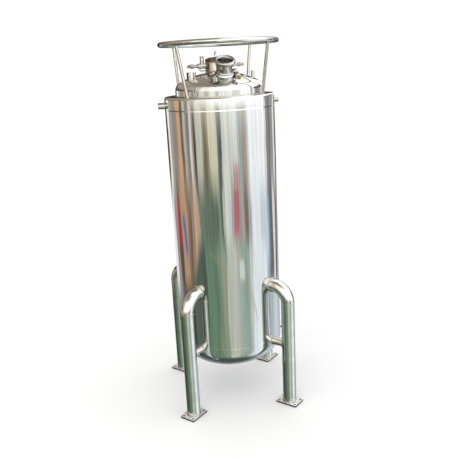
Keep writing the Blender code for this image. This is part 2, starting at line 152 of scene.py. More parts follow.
# Crown fitting
CROWN_X = -0.009
CROWN_R = 0.0475
CROWN_WALL = 0.003
CROWN_FOOT_Z = 1.575
CROWN_CAP_Z = 1.632
CROWN_SHOULDER_Z = 1.6465
CROWN_TOP_Z = 1.6555
ARM_Z = 1.618
ARM_R = 0.012
ARM_CORNER = 0.002
ARM_NECK_R = 0.0065
ARM_NECK_LENGTH = 0.008
CONE_LENGTH = 0.013
COUPLING_LENGTH = 0.018
LEFT_ARM_END = -0.126
RIGHT_ARM_END = 0.107
RIDGES = 5
RIDGE_PITCH = 0.0034
RIDGE_R = 0.0095
RIDGE_ROOT_R = 0.0084
TIP_LENGTH = 0.014
TIP_R = 0.0058
TIP_BORE_R = 0.0028
TIP_FLAT_R = 0.0085
SMALL_TUBE_WALL = 0.0016
SMALL_TUBE_DEPTH = 0.02
ARM_TUBE_X = -0.0715
ARM_TUBE_R = 0.009
ARM_TUBE_TOP = 1.661
CAP_TUBE_R = 0.005
CAP_TUBE_TOP = 1.684
STEM_X = -0.083
STEM_R = 0.003
STEM_BEND = 0.006
STEM_FOOT_Z = 1.597

# Dome sockets: x, y, radius, bore, foot, top and the floor of the bore
SOCKETS = {
    "dome_socket": (-0.131, -0.065, 0.0205, 0.0135, 1.548, 1.594, 1.5695),
    "dome_stub": (0.161, 0.0, 0.008, 0.006, 1.545, 1.588, 1.562),
}

# Weld beads: radius of the bead and spacing of its ripples
LEG_BEAD = (0.003, 0.0032)
ELBOW_BEAD = (0.0018, 0.0032)
NECK_BEAD = (0.0025, 0.0032)
FINE_BEAD = (0.0018, 0.0024)
# How deep the elbow's ground-down bead lies in the tube
ELBOW_BEAD_SINK = 0.0008


def linear(colour):
    """Turns an sRGB hex colour into linear red, green, blue and alpha."""
    parts = [int(colour[i : i + 2], 16) / 255 for i in (1, 3, 5)]
    return (*(p / 12.92 if p <= 0.04045 else ((p + 0.055) / 1.055) ** 2.4 for p in parts), 1.0)


def feed(tree, node, inputs):
    """Sets a node's inputs, each to a value, a hex colour, or an output or node to link."""
    for key, value in inputs.items() if isinstance(inputs, dict) else enumerate(inputs):
        if isinstance(value, bpy.types.Node):
            value = next(output for output in value.outputs if output.enabled)
        if isinstance(value, bpy.types.NodeSocket):
            tree.links.new(value, node.inputs[key])
        else:
            node.inputs[key].default_value = linear(value) if isinstance(value, str) else value


def add_node(tree, kind, inputs=(), **settings):
    """Adds a node with its settings, then its inputs by name or in order."""
    made = tree.nodes.new(kind)
    for key, value in settings.items():
        setattr(made, key, value)
    feed(tree, made, inputs)
    return made


# Outlines and solids


def round_place(radius, azimuth, z):
    """The point at an azimuth round the tank's axis."""
    turn = radians(azimuth)
    return Vector((radius * sin(turn), -radius * cos(turn), z))


def move(x, y, z):
    """A matrix that moves."""
    return Matrix.Translation((x, y, z))


def turn_about(axis, angle):
    """A matrix that turns about an axis, by degrees."""
    return Matrix.Rotation(radians(angle), 4, axis)


def arc(centre, radius, start, end, steps):
    """Points of an arc from one angle to another, in degrees."""
    turns = [radians(start + (end - start) * i / steps) for i in range(steps + 1)]
    return [(centre[0] + radius * cos(t), centre[1] + radius * sin(t)) for t in turns]


def circle(radius, steps=48):
    """Points of a full circle."""
    turns = [tau * i / steps for i in range(steps)]
    return [(radius * cos(t), radius * sin(t)) for t in turns]


def rod(radius, low, high):
    """The outline of a solid rod."""
    return [(0, low), (radius, low), (radius, high), (0, high)]


def rounded(corners, steps=4):
    """A closed outline from (x, y, radius) corners, each rounded off to its radius."""
    outline = []
    for i, (x, y, radius) in enumerate(corners):
        here = Vector((x, y))
        if not radius:
            outline.append((x, y))
            continue
        before = (Vector(corners[i - 1][:2]) - here).normalized()
        after = (Vector(corners[(i + 1) % len(corners)][:2]) - here).normalized()
        half = before.angle(after) / 2
        centre = here + (before + after).normalized() * (radius / sin(half))
        first = here + before * (radius / tan(half)) - centre
        last = here + after * (radius / tan(half)) - centre
        start = atan2(first.y, first.x)
        sweep = (atan2(last.y, last.x) - start + pi) % tau - pi
        outline += arc(centre, radius, degrees(start), degrees(start + sweep), steps)
    return outline


def turned(outline, segments=TUBE_SEGMENTS, place=None, start=0, sweep=360):
    """Turns (radius, z) points about the Z axis into a closed solid."""
    bm = bmesh.new()
    whole = sweep == 360
    rings = []
    for radius, z in outline:
        count = segments + (0 if whole else 1)
        turns = [start + sweep * i / segments for i in range(count)] if radius > 1e-6 else [0]
        rings.append([bm.verts.new(round_place(radius, turn, z)) for turn in turns])
    pairs = list(zip(rings, rings[1:]))
    if len(rings[0]) > 1:
        pairs.append((rings[-1], rings[0]))
    for low, high in pairs:
        for i in range(segments):
            j = i + 1
            corners = (low[i % len(low)], low[j % len(low)], high[j % len(high)], high[i % len(high)])
            bm.faces.new(list(dict.fromkeys(corners)))
    if not whole:
        bm.faces.new([ring[0] for ring in rings])
        bm.faces.new([ring[-1] for ring in rings][::-1])
    if place:
        bm.transform(place)
    return bm


def between(start, end):
    """The matrix that takes the Z axis from one point towards another."""
    turn = (end - start).to_track_quat("Z", "Y").to_matrix().to_4x4()
    return Matrix.Translation(start) @ turn


def lofted(rings):
    """Joins rings of points with walls and closes both ends."""
    bm = bmesh.new()
    loops = [[bm.verts.new(point) for point in ring] for ring in rings]
    for low, high in zip(loops, loops[1:]):
        for i in range(len(low)):
            bm.faces.new((low[i - 1], low[i], high[i], high[i - 1]))
    bm.faces.new(loops[0][::-1])
    bm.faces.new(loops[-1])
    return bm


def block(size, centre, radius):
    """A block with every edge rounded off."""
    bm = bmesh.new()
    bmesh.ops.create_cube(bm, size=1)
    bmesh.ops.scale(bm, vec=size, verts=bm.verts)
    bmesh.ops.bevel(bm, geom=bm.edges[:], offset=radius, segments=3, profile=0.5, affect="EDGES")
    bmesh.ops.translate(bm, vec=centre, verts=bm.verts)
    return bm


def plain_mesh(bm, name="work"):
    """Ends a bmesh as a mesh."""
    mesh = bpy.data.meshes.new(name)
    bm.to_mesh(mesh)
    bm.free()
    return mesh


def linked(name, data):
    """A new object in the scene."""
    made = bpy.data.objects.new(name, data)
    scene.collection.objects.link(made)
    return made


def solid_object(bm):
    """Puts a bmesh into a loose object, for a tool to work on."""
    bmesh.ops.recalc_face_normals(bm, faces=bm.faces)
    return linked("work", plain_mesh(bm))


def evaluated_mesh(thing):
    """The mesh that an object's modifiers give, with the object removed."""
    graph = bpy.context.evaluated_depsgraph_get()
    mesh = bpy.data.meshes.new_from_object(thing.evaluated_get(graph))
    bpy.data.objects.remove(thing)
    return mesh


def joined(meshes):
    """Takes meshes up into one bmesh."""
    whole = bmesh.new()
    for mesh in meshes:
        whole.from_mesh(mesh)
        bpy.data.meshes.remove(mesh)
    return whole


def carved(solid, tools, operation="DIFFERENCE"):
    """Cuts closed tools out of a solid, or joins them to it."""
    body = solid_object(solid)
    helpers = [solid_object(tool) for tool in tools]
    for helper in helpers:
        step = body.modifiers.new("carve", "BOOLEAN")
        step.operation = operation
        step.object = helper
        step.solver = "EXACT"
    mesh = evaluated_mesh(body)
    for helper in helpers:
        bpy.data.objects.remove(helper)
    return joined([mesh])


# Geometry Nodes trees: a weld bead and a tube along a path, and a screw thread


def start_tree(name, sizes):
    """A Geometry Nodes tree with a path to follow, named sizes and a metal."""
    tree = bpy.data.node_groups.new(name, "GeometryNodeTree")
    tree.interface.new_socket("Path", in_out="INPUT", socket_type="NodeSocketGeometry")
    for size, value in sizes.items():
        kind = "NodeSocketInt" if isinstance(value, int) else "NodeSocketFloat"
        made = tree.interface.new_socket(size, in_out="INPUT", socket_type=kind)
        made.default_value = value
    tree.interface.new_socket("Metal", in_out="INPUT", socket_type="NodeSocketMaterial")
    tree.interface.new_socket("Shape", in_out="OUTPUT", socket_type="NodeSocketGeometry")
    return tree, add_node(tree, "NodeGroupInput").outputs


def end_tree(tree, given, curve, section, **sweep):
    """Ends a tree: a section swept along a curve, smooth, realized and with its metal."""
    swept = {"Curve": curve, "Profile Curve": section, **sweep}
    shape = add_node(tree, "GeometryNodeCurveToMesh", swept)
    smooth = add_node(tree, "GeometryNodeSetShadeSmooth", {"Geometry": shape})
    real = add_node(tree, "GeometryNodeRealizeInstances", {"Geometry": smooth})
    dressed = {"Geometry": real, "Material": given["Metal"]}
    add_node(tree, "NodeGroupOutput", {"Shape": add_node(tree, "GeometryNodeSetMaterial", dressed)})
    return tree


def weld_bead_tree():
    """A bead that follows each path and swells at every ripple."""
    sizes = dict(zip(("Radius", "Ripple", "Swell"), (*LEG_BEAD, 0.16)))
    tree, given = start_tree("weld_bead", sizes)
    curve = add_node(tree, "GeometryNodeMeshToCurve", {"Mesh": given["Path"]})
    step = add_node(tree, "ShaderNodeMath", [given["Ripple"], 0.25], operation="MULTIPLY")
    even = {"Curve": curve, "Length": step}
    even = add_node(tree, "GeometryNodeResampleCurve", even, mode="LENGTH")
    along = add_node(tree, "GeometryNodeSplineParameter").outputs["Length"]
    turns = add_node(tree, "ShaderNodeMath", [along, given["Ripple"]], operation="DIVIDE")
    angle = add_node(tree, "ShaderNodeMath", [turns, tau], operation="MULTIPLY")
    wave = add_node(tree, "ShaderNodeMath", [angle], operation="SINE")
    size = add_node(tree, "ShaderNodeMath", [wave, given["Swell"], 1.0], operation="MULTIPLY_ADD")
    radius = add_node(tree, "ShaderNodeMath", [size, given["Radius"]], operation="MULTIPLY")
    section = add_node(tree, "GeometryNodeCurvePrimitiveCircle", {"Resolution": 8, "Radius": 1.0})
    return end_tree(tree, given, even, section, Scale=radius)


def bent_tube_tree():
    """A closed tube along a path whose corners are bent to a radius."""
    tree, given = start_tree("bent_tube", {"Radius": LEG_R, "Bend": ELBOW_BEND, "Bend Steps": 24})
    curve = add_node(tree, "GeometryNodeMeshToCurve", {"Mesh": given["Path"]})
    bend = {"Curve": curve, "Count": given["Bend Steps"], "Radius": given["Bend"]}
    bent = add_node(tree, "GeometryNodeFilletCurve", bend, mode="POLY")
    section = {"Resolution": TUBE_SEGMENTS, "Radius": given["Radius"]}
    section = add_node(tree, "GeometryNodeCurvePrimitiveCircle", section)
    return end_tree(tree, given, bent, section, **{"Fill Caps": True})


def thread_tree():
    """The crests of a screw thread, wound up the Z axis."""
    tree, given = start_tree("thread", {"Radius": BOLT_R, "Pitch": 0.00125, "Length": 0.010})
    turns = [given["Length"], given["Pitch"]]
    turns = add_node(tree, "ShaderNodeMath", turns, operation="DIVIDE")
    spiral = {"Resolution": 20, "Rotations": turns, "Height": given["Length"]}
    spiral |= {"Start Radius": given["Radius"], "End Radius": given["Radius"]}
    wound = add_node(tree, "GeometryNodeCurveSpiral", spiral)
    crest = add_node(tree, "ShaderNodeMath", [given["Pitch"], 0.45], operation="MULTIPLY")
    section = add_node(tree, "GeometryNodeCurvePrimitiveCircle", {"Resolution": 4, "Radius": crest})
    return end_tree(tree, given, wound, section, **{"Fill Caps": True})


def grown(tree, paths, metal, closed=True, **sizes):
    """Runs a tree on paths of points, each a closed loop or an open line, and returns its plain mesh."""
    bm = bmesh.new()
    for path in paths:
        points = [bm.verts.new(point) for point in path]
        pairs = list(zip(points, points[1:])) + ([(points[-1], points[0])] if closed else [])
        for pair in pairs:
            bm.edges.new(pair)
    carrier = linked("path", plain_mesh(bm))
    step = carrier.modifiers.new(tree.name, "NODES")
    step.node_group = tree
    for item in tree.interface.items_tree:
        if item.in_out == "INPUT" and item.name in sizes:
            step[item.identifier] = sizes[item.name]
        elif item.in_out == "INPUT" and item.name == "Metal":
            step[item.identifier] = metal
    return evaluated_mesh(carrier)


# Materials; the scale of a pattern is in features per metre


def start_metal(name, colour, roughness, metallic=1.0, outline="#FFFFFF"):
    """A Principled material, with how much it mirrors at its outline, and its object coordinates."""
    made = bpy.data.materials.new(name)
    made.use_nodes = True
    tree = made.node_tree
    shader = tree.nodes["Principled BSDF"]
    look = {"Base Color": colour, "Metallic": metallic, "Roughness": roughness, "Specular Tint": outline}
    feed(tree, shader, look)
    return made, tree, shader, add_node(tree, "ShaderNodeTexCoord").outputs["Object"]


def noise(tree, place, scale, stretch=(1, 1, 1), detail=2.0):
    """Noise of a given scale, stretched along the object's axes."""
    mapped = add_node(tree, "ShaderNodeMapping", {"Vector": place, "Scale": stretch})
    return add_node(tree, "ShaderNodeTexNoise", {"Vector": mapped, "Scale": scale, "Detail": detail})


def spread(tree, value, low, high, start=0.35, end=0.65):
    """Maps a pattern's middle range onto low and high."""
    span = {"Value": value, "From Min": start, "From Max": end, "To Min": low, "To Max": high}
    return add_node(tree, "ShaderNodeMapRange", span)


def blend_colours(tree, share, low, high):
    """Mixes two colours by a share."""
    return add_node(tree, "ShaderNodeMix", {"Factor": share, "A": low, "B": high}, data_type="RGBA")


def vary(tree, shader, pattern, dark, light, rough=()):
    """Varies a surface by a pattern: its colour between two tones, its roughness between two values."""
    feed(tree, shader, {"Base Color": blend_colours(tree, spread(tree, pattern, 0, 1), dark, light)})
    if rough:
        feed(tree, shader, {"Roughness": spread(tree, pattern, *rough)})


def raise_surface(tree, shader, *layers):
    """Chains bumps of (pattern, height in metres) onto a shader."""
    normal = {}
    for height, distance in layers:
        bump = {"Height": height, "Distance": distance, "Strength": 1.0, **normal}
        normal = {"Normal": add_node(tree, "ShaderNodeBump", bump)}
    feed(tree, shader, normal)


def buffed_sheet():
    """Rolled 304 sheet, belt-ground upright and buffed: a mirror with a faint haze and slow ripples."""
    made, tree, shader, place = start_metal("buffed_stainless_sheet", "#DDDBD6", 0.06)
    # Buffing lines are 0.1 mm apart; drawn 4 mm apart and 400 mm long so that they show
    lines = noise(tree, place, 250, (1, 1, 0.01))
    vary(tree, shader, lines, "#D8D8D6", "#E6E6E5")
    # Haze lies in patches of about 150 mm, and the buffing lines streak it
    haze = spread(tree, noise(tree, place, 7, (1, 1, 0.5), 3.0), 0.035, 0.085)
    rough = [haze, spread(tree, lines, -0.012, 0.02)]
    rough = add_node(tree, "ShaderNodeMath", rough, operation="ADD", use_clamp=True)
    feed(tree, shader, {"Roughness": rough})
    # The rolled sheet waves by a tenth of a millimetre over 125 mm
    waves = noise(tree, place, 8, (1, 1, 0.25), 1.0)
    raise_surface(tree, shader, (waves, 0.0006), (lines, 0.00001))
    return made


def buffed_tube():
    """Drawn 304 tube buffed after welding: a mirror like the sheet, slightly hazed along its draw lines."""
    made, tree, shader, place = start_metal("buffed_stainless_tube", "#E4E3E0", 0.06, outline="#8E8C86")
    # Haze in patches of 50 mm, and draw lines of 0.1 mm that are drawn 4 mm wide so that they show
    patches = noise(tree, place, 20, detail=3.0)
    scuffs = noise(tree, place, 260, (1, 1, 0.08))
    vary(tree, shader, patches, "#DEDDDA", "#EAE9E7", (0.04, 0.09))
    raise_surface(tree, shader, (patches, 0.0001), (scuffs, 0.000006))
    return made


def drawn_rod():
    """Thin drawn 304 tube, polished less than the legs: darker in its mid tones, greyer at its edges."""
    made, tree, shader, place = start_metal("drawn_stainless_rod", "#CCC8C0", 0.09, outline="#A8A6A0")
    # Haze in patches of 35 mm, and draw lines drawn 3 mm wide so that they show
    patches = noise(tree, place, 30, detail=3.0)
    scuffs = noise(tree, place, 300, (1, 1, 0.08))
    vary(tree, shader, patches, "#C4C0B7", "#D2CFC8", (0.06, 0.13))
    raise_surface(tree, shader, (patches, 0.00005), (scuffs, 0.000006))
    return made


def turned_fitting():
    """Turned and cast 304 fittings, buffed: fine tool marks under a soft shine."""
    made, tree, shader, place = start_metal("turned_stainless_fitting", "#D4D2CD", 0.1, outline="#5C5A54")
    # Tool marks are 0.2 mm apart, drawn under 1 mm apart so that they show
    marks = noise(tree, place, 500, (1, 1, 3))
    patches = noise(tree, place, 40)
    vary(tree, shader, patches, "#C2BFB9", "#D4D1CC", (0.06, 0.13))
    raise_surface(tree, shader, (patches, 0.00005), (marks, 0.000006))
    return made


def cast_cap():
    """A cast 304 cap left with a brown-grey oxide skin and a soft shine."""
    made, tree, shader, place = start_metal("cast_stainless_cap", "#72695A", 0.28)
    # The skin mottles over 8 mm
    skin = noise(tree, place, 120, detail=3.0)
    vary(tree, shader, skin, "#5E5546", "#857C6C", (0.22, 0.36))
    raise_surface(tree, shader, (skin, 0.00005))
    return made


def satin_bore():
    """The inside of the open neck, brushed but never buffed, so light from its mouth scatters down it."""
    made, tree, shader, place = start_metal("satin_bore", "#8E9490", 0.45, metallic=0.6)
    # Brush marks are drawn 3 mm wide so that they show
    marks = noise(tree, place, 300)
    vary(tree, shader, marks, "#7A827E", "#A2A8A6", (0.38, 0.5))
    return made


def ground_plate():
    """304 plate ground to a pale satin face, where grinding scratches scatter most of the light."""
    made, tree, shader, place = start_metal("ground_stainless_plate", "#EAEAE8", 0.36, metallic=0.4)
    # Scratches of 0.2 mm are drawn 2.4 mm apart so that they show, and the mill's mottle is 17 mm wide
    scratches = noise(tree, place, 420, (1, 0.12, 1), 3.0)
    mottle = noise(tree, place, 60, detail=3.0)
    vary(tree, shader, mottle, "#DADAD8", "#F6F6F5", (0.28, 0.44))
    raise_surface(tree, shader, (mottle, 0.00008), (scratches, 0.00002))
    return made


def oxide_and_hole_shade():
    """The oxidised face that a laser leaves through the plate, dark grey with upright striations; the dark
    grey is partly that oxide and partly painted shade down the bolt holes.
    """
    made, tree, shader, place = start_metal("laser_oxide_and_hole_shade", "#4A4744", 0.55, metallic=0.7)
    # Striations are about 1 mm apart
    striations = noise(tree, place, 900, (1, 1, 0.1))
    vary(tree, shader, striations, "#302E2C", "#5A5653")
    raise_surface(tree, shader, (striations, 0.00006))
    return made


def seam_metal():
    """A circumferential weld ground flush and buffed, which catches the light as a fine white line."""
    made, tree, shader, place = start_metal("ground_seam_metal", "#F0EEEA", 0.12)
    # Grinding lines run round the seam, drawn 1 mm apart so that they show
    lines = noise(tree, place, 300, (1, 1, 3))
    feed(tree, shader, {"Roughness": spread(tree, lines, 0.08, 0.18)})
    raise_surface(tree, shader, (lines, 0.000008))
    return made


def weld_metal():
    """Weld metal brushed after welding, with a little straw heat tint left in it."""
    made, tree, shader, place = start_metal("brushed_weld_metal", "#C9C3B6", 0.26)
    # The tint changes over 8 mm
    tone = noise(tree, place, 120, detail=3.0)
    vary(tree, shader, tone, "#A89A84", "#DAD7D0", (0.2, 0.36))
    raise_surface(tree, shader, (tone, 0.0001))
    return made


def yellow_metal(name, dark, light, roughness):
    """Brass or bronze with a thin tarnish in its hollows."""
    made, tree, shader, place = start_metal(name, light, roughness)
    # The tarnish lies in spots of 6 mm
    tarnish = noise(tree, place, 160, detail=3.0)
    vary(tree, shader, tarnish, dark, light, (roughness * 1.4, roughness * 0.8))
    raise_surface(tree, shader, (tarnish, 0.00004))
    return made


def silicone():
    """Pressed silicone, off-white and slightly waxy."""
    made, tree, shader, place = start_metal("pressed_silicone", "#D9D6CC", 0.5, metallic=0.0)
    waxy = {"IOR": 1.43, "Subsurface Weight": 0.1, "Subsurface Radius": (0.002, 0.0015, 0.001)}
    feed(tree, shader, waxy)
    # The grain of the mould is about 1 mm wide
    grain = noise(tree, place, 900)
    vary(tree, shader, grain, "#CFCBC0", "#E2DFD6")
    raise_surface(tree, shader, (grain, 0.00003))
    return made


SHEET_METAL = buffed_sheet()
TUBE_METAL = buffed_tube()
FITTING_METAL = turned_fitting()
ROD_METAL = drawn_rod()
PLATE_METAL = ground_plate()
OXIDE_AND_SHADE_METAL = oxide_and_hole_shade()
CAP_METAL = cast_cap()
BORE_METAL = satin_bore()
SEAM_METAL = seam_metal()
WELD_METAL = weld_metal()
BRASS = yellow_metal("turned_brass", "#A47A44", "#E0B878", 0.18)
BRONZE = yellow_metal("cast_bronze", "#8A5C2C", "#DCA658", 0.2)
SILICONE = silicone()

WELD_BEAD = weld_bead_tree()
BENT_TUBE = bent_tube_tree()
THREAD = thread_tree()


def show(name, mesh, nodes=(), sharp=35):
    """Makes a finished mesh a piece that rides on the tank and stands for its nodes."""
    mesh.name = name
    mesh.shade_smooth()
    mesh.set_sharp_from_angle(angle=radians(sharp))
    made = linked(name, mesh)
    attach(made, "root")
    if nodes:
        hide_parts(*nodes)
    return made


def piece(name, parts, nodes=(), metal=FITTING_METAL, sharp=35):
    """Joins closed solids into one piece."""
    for part in parts:
        bmesh.ops.recalc_face_normals(part, faces=part.faces)
    mesh = plain_mesh(joined([plain_mesh(part) for part in parts]))
    mesh.materials.clear()
    mesh.materials.append(metal)
    return show(name, mesh, nodes, sharp)


def shell(name, node, solid):
    """A piece of the polished shells."""
    piece(name, [solid], [node], SHEET_METAL)


# Welds


def tank_r(z):
    """The radius of the tank's outside at a height."""
    if z >= HEAD_Z:
        return JACKET_R
    return JACKET_R * sqrt(max(0, 1 - ((HEAD_Z - z) / HEAD_DEPTH) ** 2))


def ring_path(place, radius, steps=48):
    """A closed circle about a matrix's Z axis."""
    return [place @ Vector((x, y, 0)) for x, y in circle(radius, steps)]


def tank_saddle(turn, z, radius, steps=48):
    """Where a level tube of a radius meets the tank's outside, at an azimuth's matrix."""
    spots = [(x, z + rise) for x, rise in circle(radius, steps)]
    return [turn @ Vector((x, -sqrt(tank_r(high) ** 2 - x**2), high)) for x, high in spots]


def post_saddle(turn, z, radius, steps=48):
    """Where a level brace meets its leg post."""
    spots = circle(radius, steps)
    return [turn @ Vector((x, -LEG_RADIUS + sqrt(LEG_R**2 - x**2), z + rise)) for x, rise in spots]


def dome_curve(offset=0.0, knuckle_steps=20, crown_steps=64):
    """The dome's surface moved out by an offset, from its edge in to the crown."""
    inner_r = VESSEL_R - KNUCKLE_R
    reach = CROWN_CURVE_R - KNUCKLE_R
    centre_z = VESSEL_TOP_Z - sqrt(reach**2 - inner_r**2)
    edge = degrees(atan2(VESSEL_TOP_Z - centre_z, inner_r))
    knuckle = arc((inner_r, VESSEL_TOP_Z), KNUCKLE_R + offset, 0, edge, knuckle_steps)
    crown = arc((0, centre_z), CROWN_CURVE_R + offset, edge, 90, crown_steps)
    return knuckle[:-1] + crown[:-1] + [(0, centre_z + CROWN_CURVE_R + offset)]


def dome_z(x, y):
    """Height of the dome's outside within its crown."""
    return dome_curve()[-1][1] - CROWN_CURVE_R + sqrt(CROWN_CURVE_R**2 - x**2 - y**2)


def dome_ring(x, y, radius, steps=48):
    """Where an upright pipe of a radius meets the dome."""
    spots = [(x + u, y + v) for u, v in circle(radius, steps)]
    return [Vector((u, v, dome_z(u, v))) for u, v in spots]


def beads(name, paths, bead=LEG_BEAD):
    """One piece of weld beads along several paths."""
    radius, ripple = bead
    show(name, grown(WELD_BEAD, paths, WELD_METAL, Radius=radius, Ripple=ripple), sharp=60)


def screw_thread(place, **sizes):
    """The crests of a thread, wound up a matrix's Z axis."""
    mesh = grown(THREAD, [], FITTING_METAL, **sizes)
    mesh.transform(place)
    return mesh


# Pieces


def build_shells():
    """The jacket and the vessel in it, turned finely enough to mirror cleanly."""
    inner_r = JACKET_R - SHEET
    sheet = [(inner_r, SEAM_Z), (JACKET_R, SEAM_Z), (JACKET_R, BAND_Z), (inner_r, BAND_Z)]
    shell("jacket_sheet", "jacket_shell", turned(sheet, SHELL_SEGMENTS))
    corner = (JACKET_R - RIM_CORNER, RIM_Z - RIM_CORNER)
    outer = [(JACKET_R, BAND_Z)] + arc(corner, RIM_CORNER, 0, 90, 10)
    inner = [(inner_r, BAND_Z)] + arc(corner, RIM_CORNER - SHEET, 0, 90, 10)
    seat = [(VESSEL_R, RIM_Z), (VESSEL_R, RIM_Z - SHEET)]
    shell("jacket_top_ring", "jacket_closing_ring", turned(outer + seat + inner[::-1], SHELL_SEGMENTS))
    turns = [pi / 2 * i / HEAD_STEPS for i in range(HEAD_STEPS + 1)]
    outside = [(JACKET_R * sin(t), HEAD_Z - HEAD_DEPTH * cos(t)) for t in turns]
    inside = [(inner_r * sin(t), HEAD_Z - (HEAD_DEPTH - SHEET) * cos(t)) for t in turns]
    dish = outside + [(JACKET_R, SEAM_Z), (inner_r, SEAM_Z)] + inside[::-1]
    shell("jacket_dished_bottom", "jacket_bottom_head", turned(dish, SHELL_SEGMENTS))
    wall = [(VESSEL_R - SHEET, VESSEL_BOTTOM_Z), (VESSEL_R, VESSEL_BOTTOM_Z)]
    wall += [(VESSEL_R, VESSEL_TOP_Z), (VESSEL_R - SHEET, VESSEL_TOP_Z)]
    shell("vessel_wall", "vessel_shell", turned(wall, SHELL_SEGMENTS))
    dome = turned(dome_curve()[::-1] + dome_curve(-SHEET), SHELL_SEGMENTS)
    bore = turned(rod(PORT_BORE_R, -0.04, 0.03), place=PORT_FRAME)
    shell("vessel_dome_top", "vessel_dome", carved(dome, [bore]))
    # The vessel's bottom stays the solid itself, in the sheet's metal
    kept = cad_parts["vessel_bottom_head"].data.materials
    kept.clear()
    kept.append(SHEET_METAL)
    # Circumferential welds are ground off to a long upper flank, which catches the light
    seams = []
    for z, proud in SEAMS.items():
        root, foot = JACKET_R - SEAM_ROOT, SEAM_HALF + 0.0005
        flank = [(root, z - foot), (JACKET_R + proud, z - SEAM_HALF), (JACKET_R - 0.0002, z + SEAM_HALF)]
        seams.append(turned(flank + [(root, z + foot)], SHELL_SEGMENTS))
    piece("jacket_seams", seams, (), SEAM_METAL, sharp=30)
    seat_path = ring_path(move(0, 0, RIM_Z), VESSEL_R, SHELL_SEGMENTS)
    beads("vessel_seat_weld", [seat_path], FINE_BEAD)


def drilled_plate():
    """A foot plate with rounded corners, four bolt holes and eased edges."""
    half_x, half_y = PLATE_WIDTH / 2, PLATE_LENGTH / 2
    corners = [(x * half_x, y * half_y, PLATE_CORNER) for x, y in ((1, 1), (-1, 1), (-1, -1), (1, -1))]
    blank = lofted([[(x, y, z) for x, y in rounded(corners)] for z in (0, PLATE_T)])
    places = [(x * PLATE_HOLES[0] / 2, y * PLATE_HOLES[1] / 2) for x in (-1, 1) for y in (-1, 1)]
    drill = rod(PLATE_HOLE_R, -0.01, 0.02)
    drills = [turned(drill, SMALL_SEGMENTS, move(x, y, 0)) for x, y in places]
    plate = solid_object(carved(blank, drills))
    easing = plate.modifiers.new("eased_edges", "BEVEL")
    easing.width = EASE
    easing.segments = 2
    easing.limit_method = "ANGLE"
    easing.angle_limit = radians(50)
    mesh = evaluated_mesh(plate)
    # The cut sides and the bolt-hole walls take the dark cut metal: oxide, and in the holes painted shade
    # as well
    for face in mesh.polygons:
        in_hole = any((face.center.xy - Vector(spot)).length < PLATE_HOLE_R + FINE_EASE for spot in places)
        is_side = abs(face.normal.z) < 0.3
        face.material_index = 1 if in_hole or is_side else 0
    return mesh


def build_legs():
    """Four legs: bent tube, brace, foot plate and their welds."""
    plate = drilled_plate()
    for corner, azimuth in CORNERS.items():
        turn = turn_about("Z", azimuth)
        spots = ((JACKET_R - LEG_SINK, ELBOW_Z), (LEG_RADIUS, ELBOW_Z), (LEG_RADIUS, PLATE_T))
        path = [round_place(radius, azimuth, z) for radius, z in spots]
        nodes = ["leg_post_" + corner, "leg_elbow_" + corner]
        tube = grown(BENT_TUBE, [path], TUBE_METAL, closed=False)
        show("leg_" + corner, tube, nodes)
        at_tank = tank_saddle(turn, BRACE_Z, BRACE_R, TUBE_SEGMENTS)
        at_post = post_saddle(turn, BRACE_Z, BRACE_R, TUBE_SEGMENTS)
        inward = turn @ Vector((0, OVERLAP, 0))
        rings = [[point + inward for point in at_tank], [point - inward for point in at_post]]
        piece("brace_" + corner, [lofted(rings)], ["leg_brace_" + corner], TUBE_METAL)
        placed = plate.copy()
        placed.transform(turn @ move(0, -LEG_RADIUS, 0))
        for metal in (PLATE_METAL, OXIDE_AND_SHADE_METAL):
            placed.materials.append(metal)
        show("plate_" + corner, placed, ["foot_plate_" + corner])
        foot = turn @ move(0, -LEG_RADIUS, PLATE_T)
        paths = [tank_saddle(turn, ELBOW_Z, LEG_R), at_tank, at_post, ring_path(foot, LEG_R)]
        beads("leg_welds_" + corner, paths)
        joint = turn @ move(0, -LEG_RADIUS, ELBOW_Z - ELBOW_BEND)
        beads("elbow_weld_" + corner, [ring_path(joint, LEG_R - ELBOW_BEAD_SINK)], ELBOW_BEAD)


def build_guard():
    """The guard ring, its four leaning posts and their welds."""
    hoop = arc((RING_R, RING_Z), HOOP_TUBE_R, 0, 360, 32)[:-1]
    hoop = turned(hoop, SHELL_SEGMENTS, move(RING_X, 0, 0))
    piece("guard_hoop", [hoop], ["guard_ring"], TUBE_METAL)
    paths = []
    for corner, azimuth in CORNERS.items():
        foot = round_place(POST_FOOT_R, azimuth, RIM_Z)
        top = round_place(RING_R, POST_TOPS[corner], RING_Z) + Vector((RING_X, 0, 0))
        length = (top - foot).length - POST_SHORT
        place = between(foot, top)
        name = "guard_post_" + corner
        post = turned(rod(POST_R, -OVERLAP, length), SMALL_SEGMENTS, place)
        piece(name + "_rod", [post], [name], ROD_METAL)
        paths.append(ring_path(Matrix.Translation(foot), POST_R + 0.0005, SMALL_SEGMENTS))
        paths.append(ring_path(place @ move(0, 0, length - 0.0015), POST_R, SMALL_SEGMENTS))
    beads("guard_welds", paths, FINE_BEAD)


def build_nozzles():
    """Pipe ends on the jacket, with eased mouths and root welds."""
    paths = []
    for name, (azimuth, z, radius, end_r) in NOZZLES.items():
        bore, root = radius - NOZZLE_WALL, NOZZLE_ROOT_R
        pipe = [(bore, root, 0), (radius, root, 0), (radius, end_r, EASE), (bore, end_r, EASE)]
        turn = turn_about("Z", azimuth)
        place = turn @ move(0, 0, z) @ turn_about("X", 90)
        piece(name + "_pipe", [turned(rounded(pipe), place=place)], [name])
        paths.append(tank_saddle(turn, z, radius))
    beads("nozzle_welds", paths, FINE_BEAD)


PORT_FRAME = move(0, -PORT_FOOT_R, dome_z(0, PORT_FOOT_R)) @ turn_about("X", PORT_LEAN)
CLAMP_FRAME = PORT_FRAME @ move(0, 0, PORT_JOINT + GASKET_T / 2) @ turn_about("Z", CLAMP_TURN)


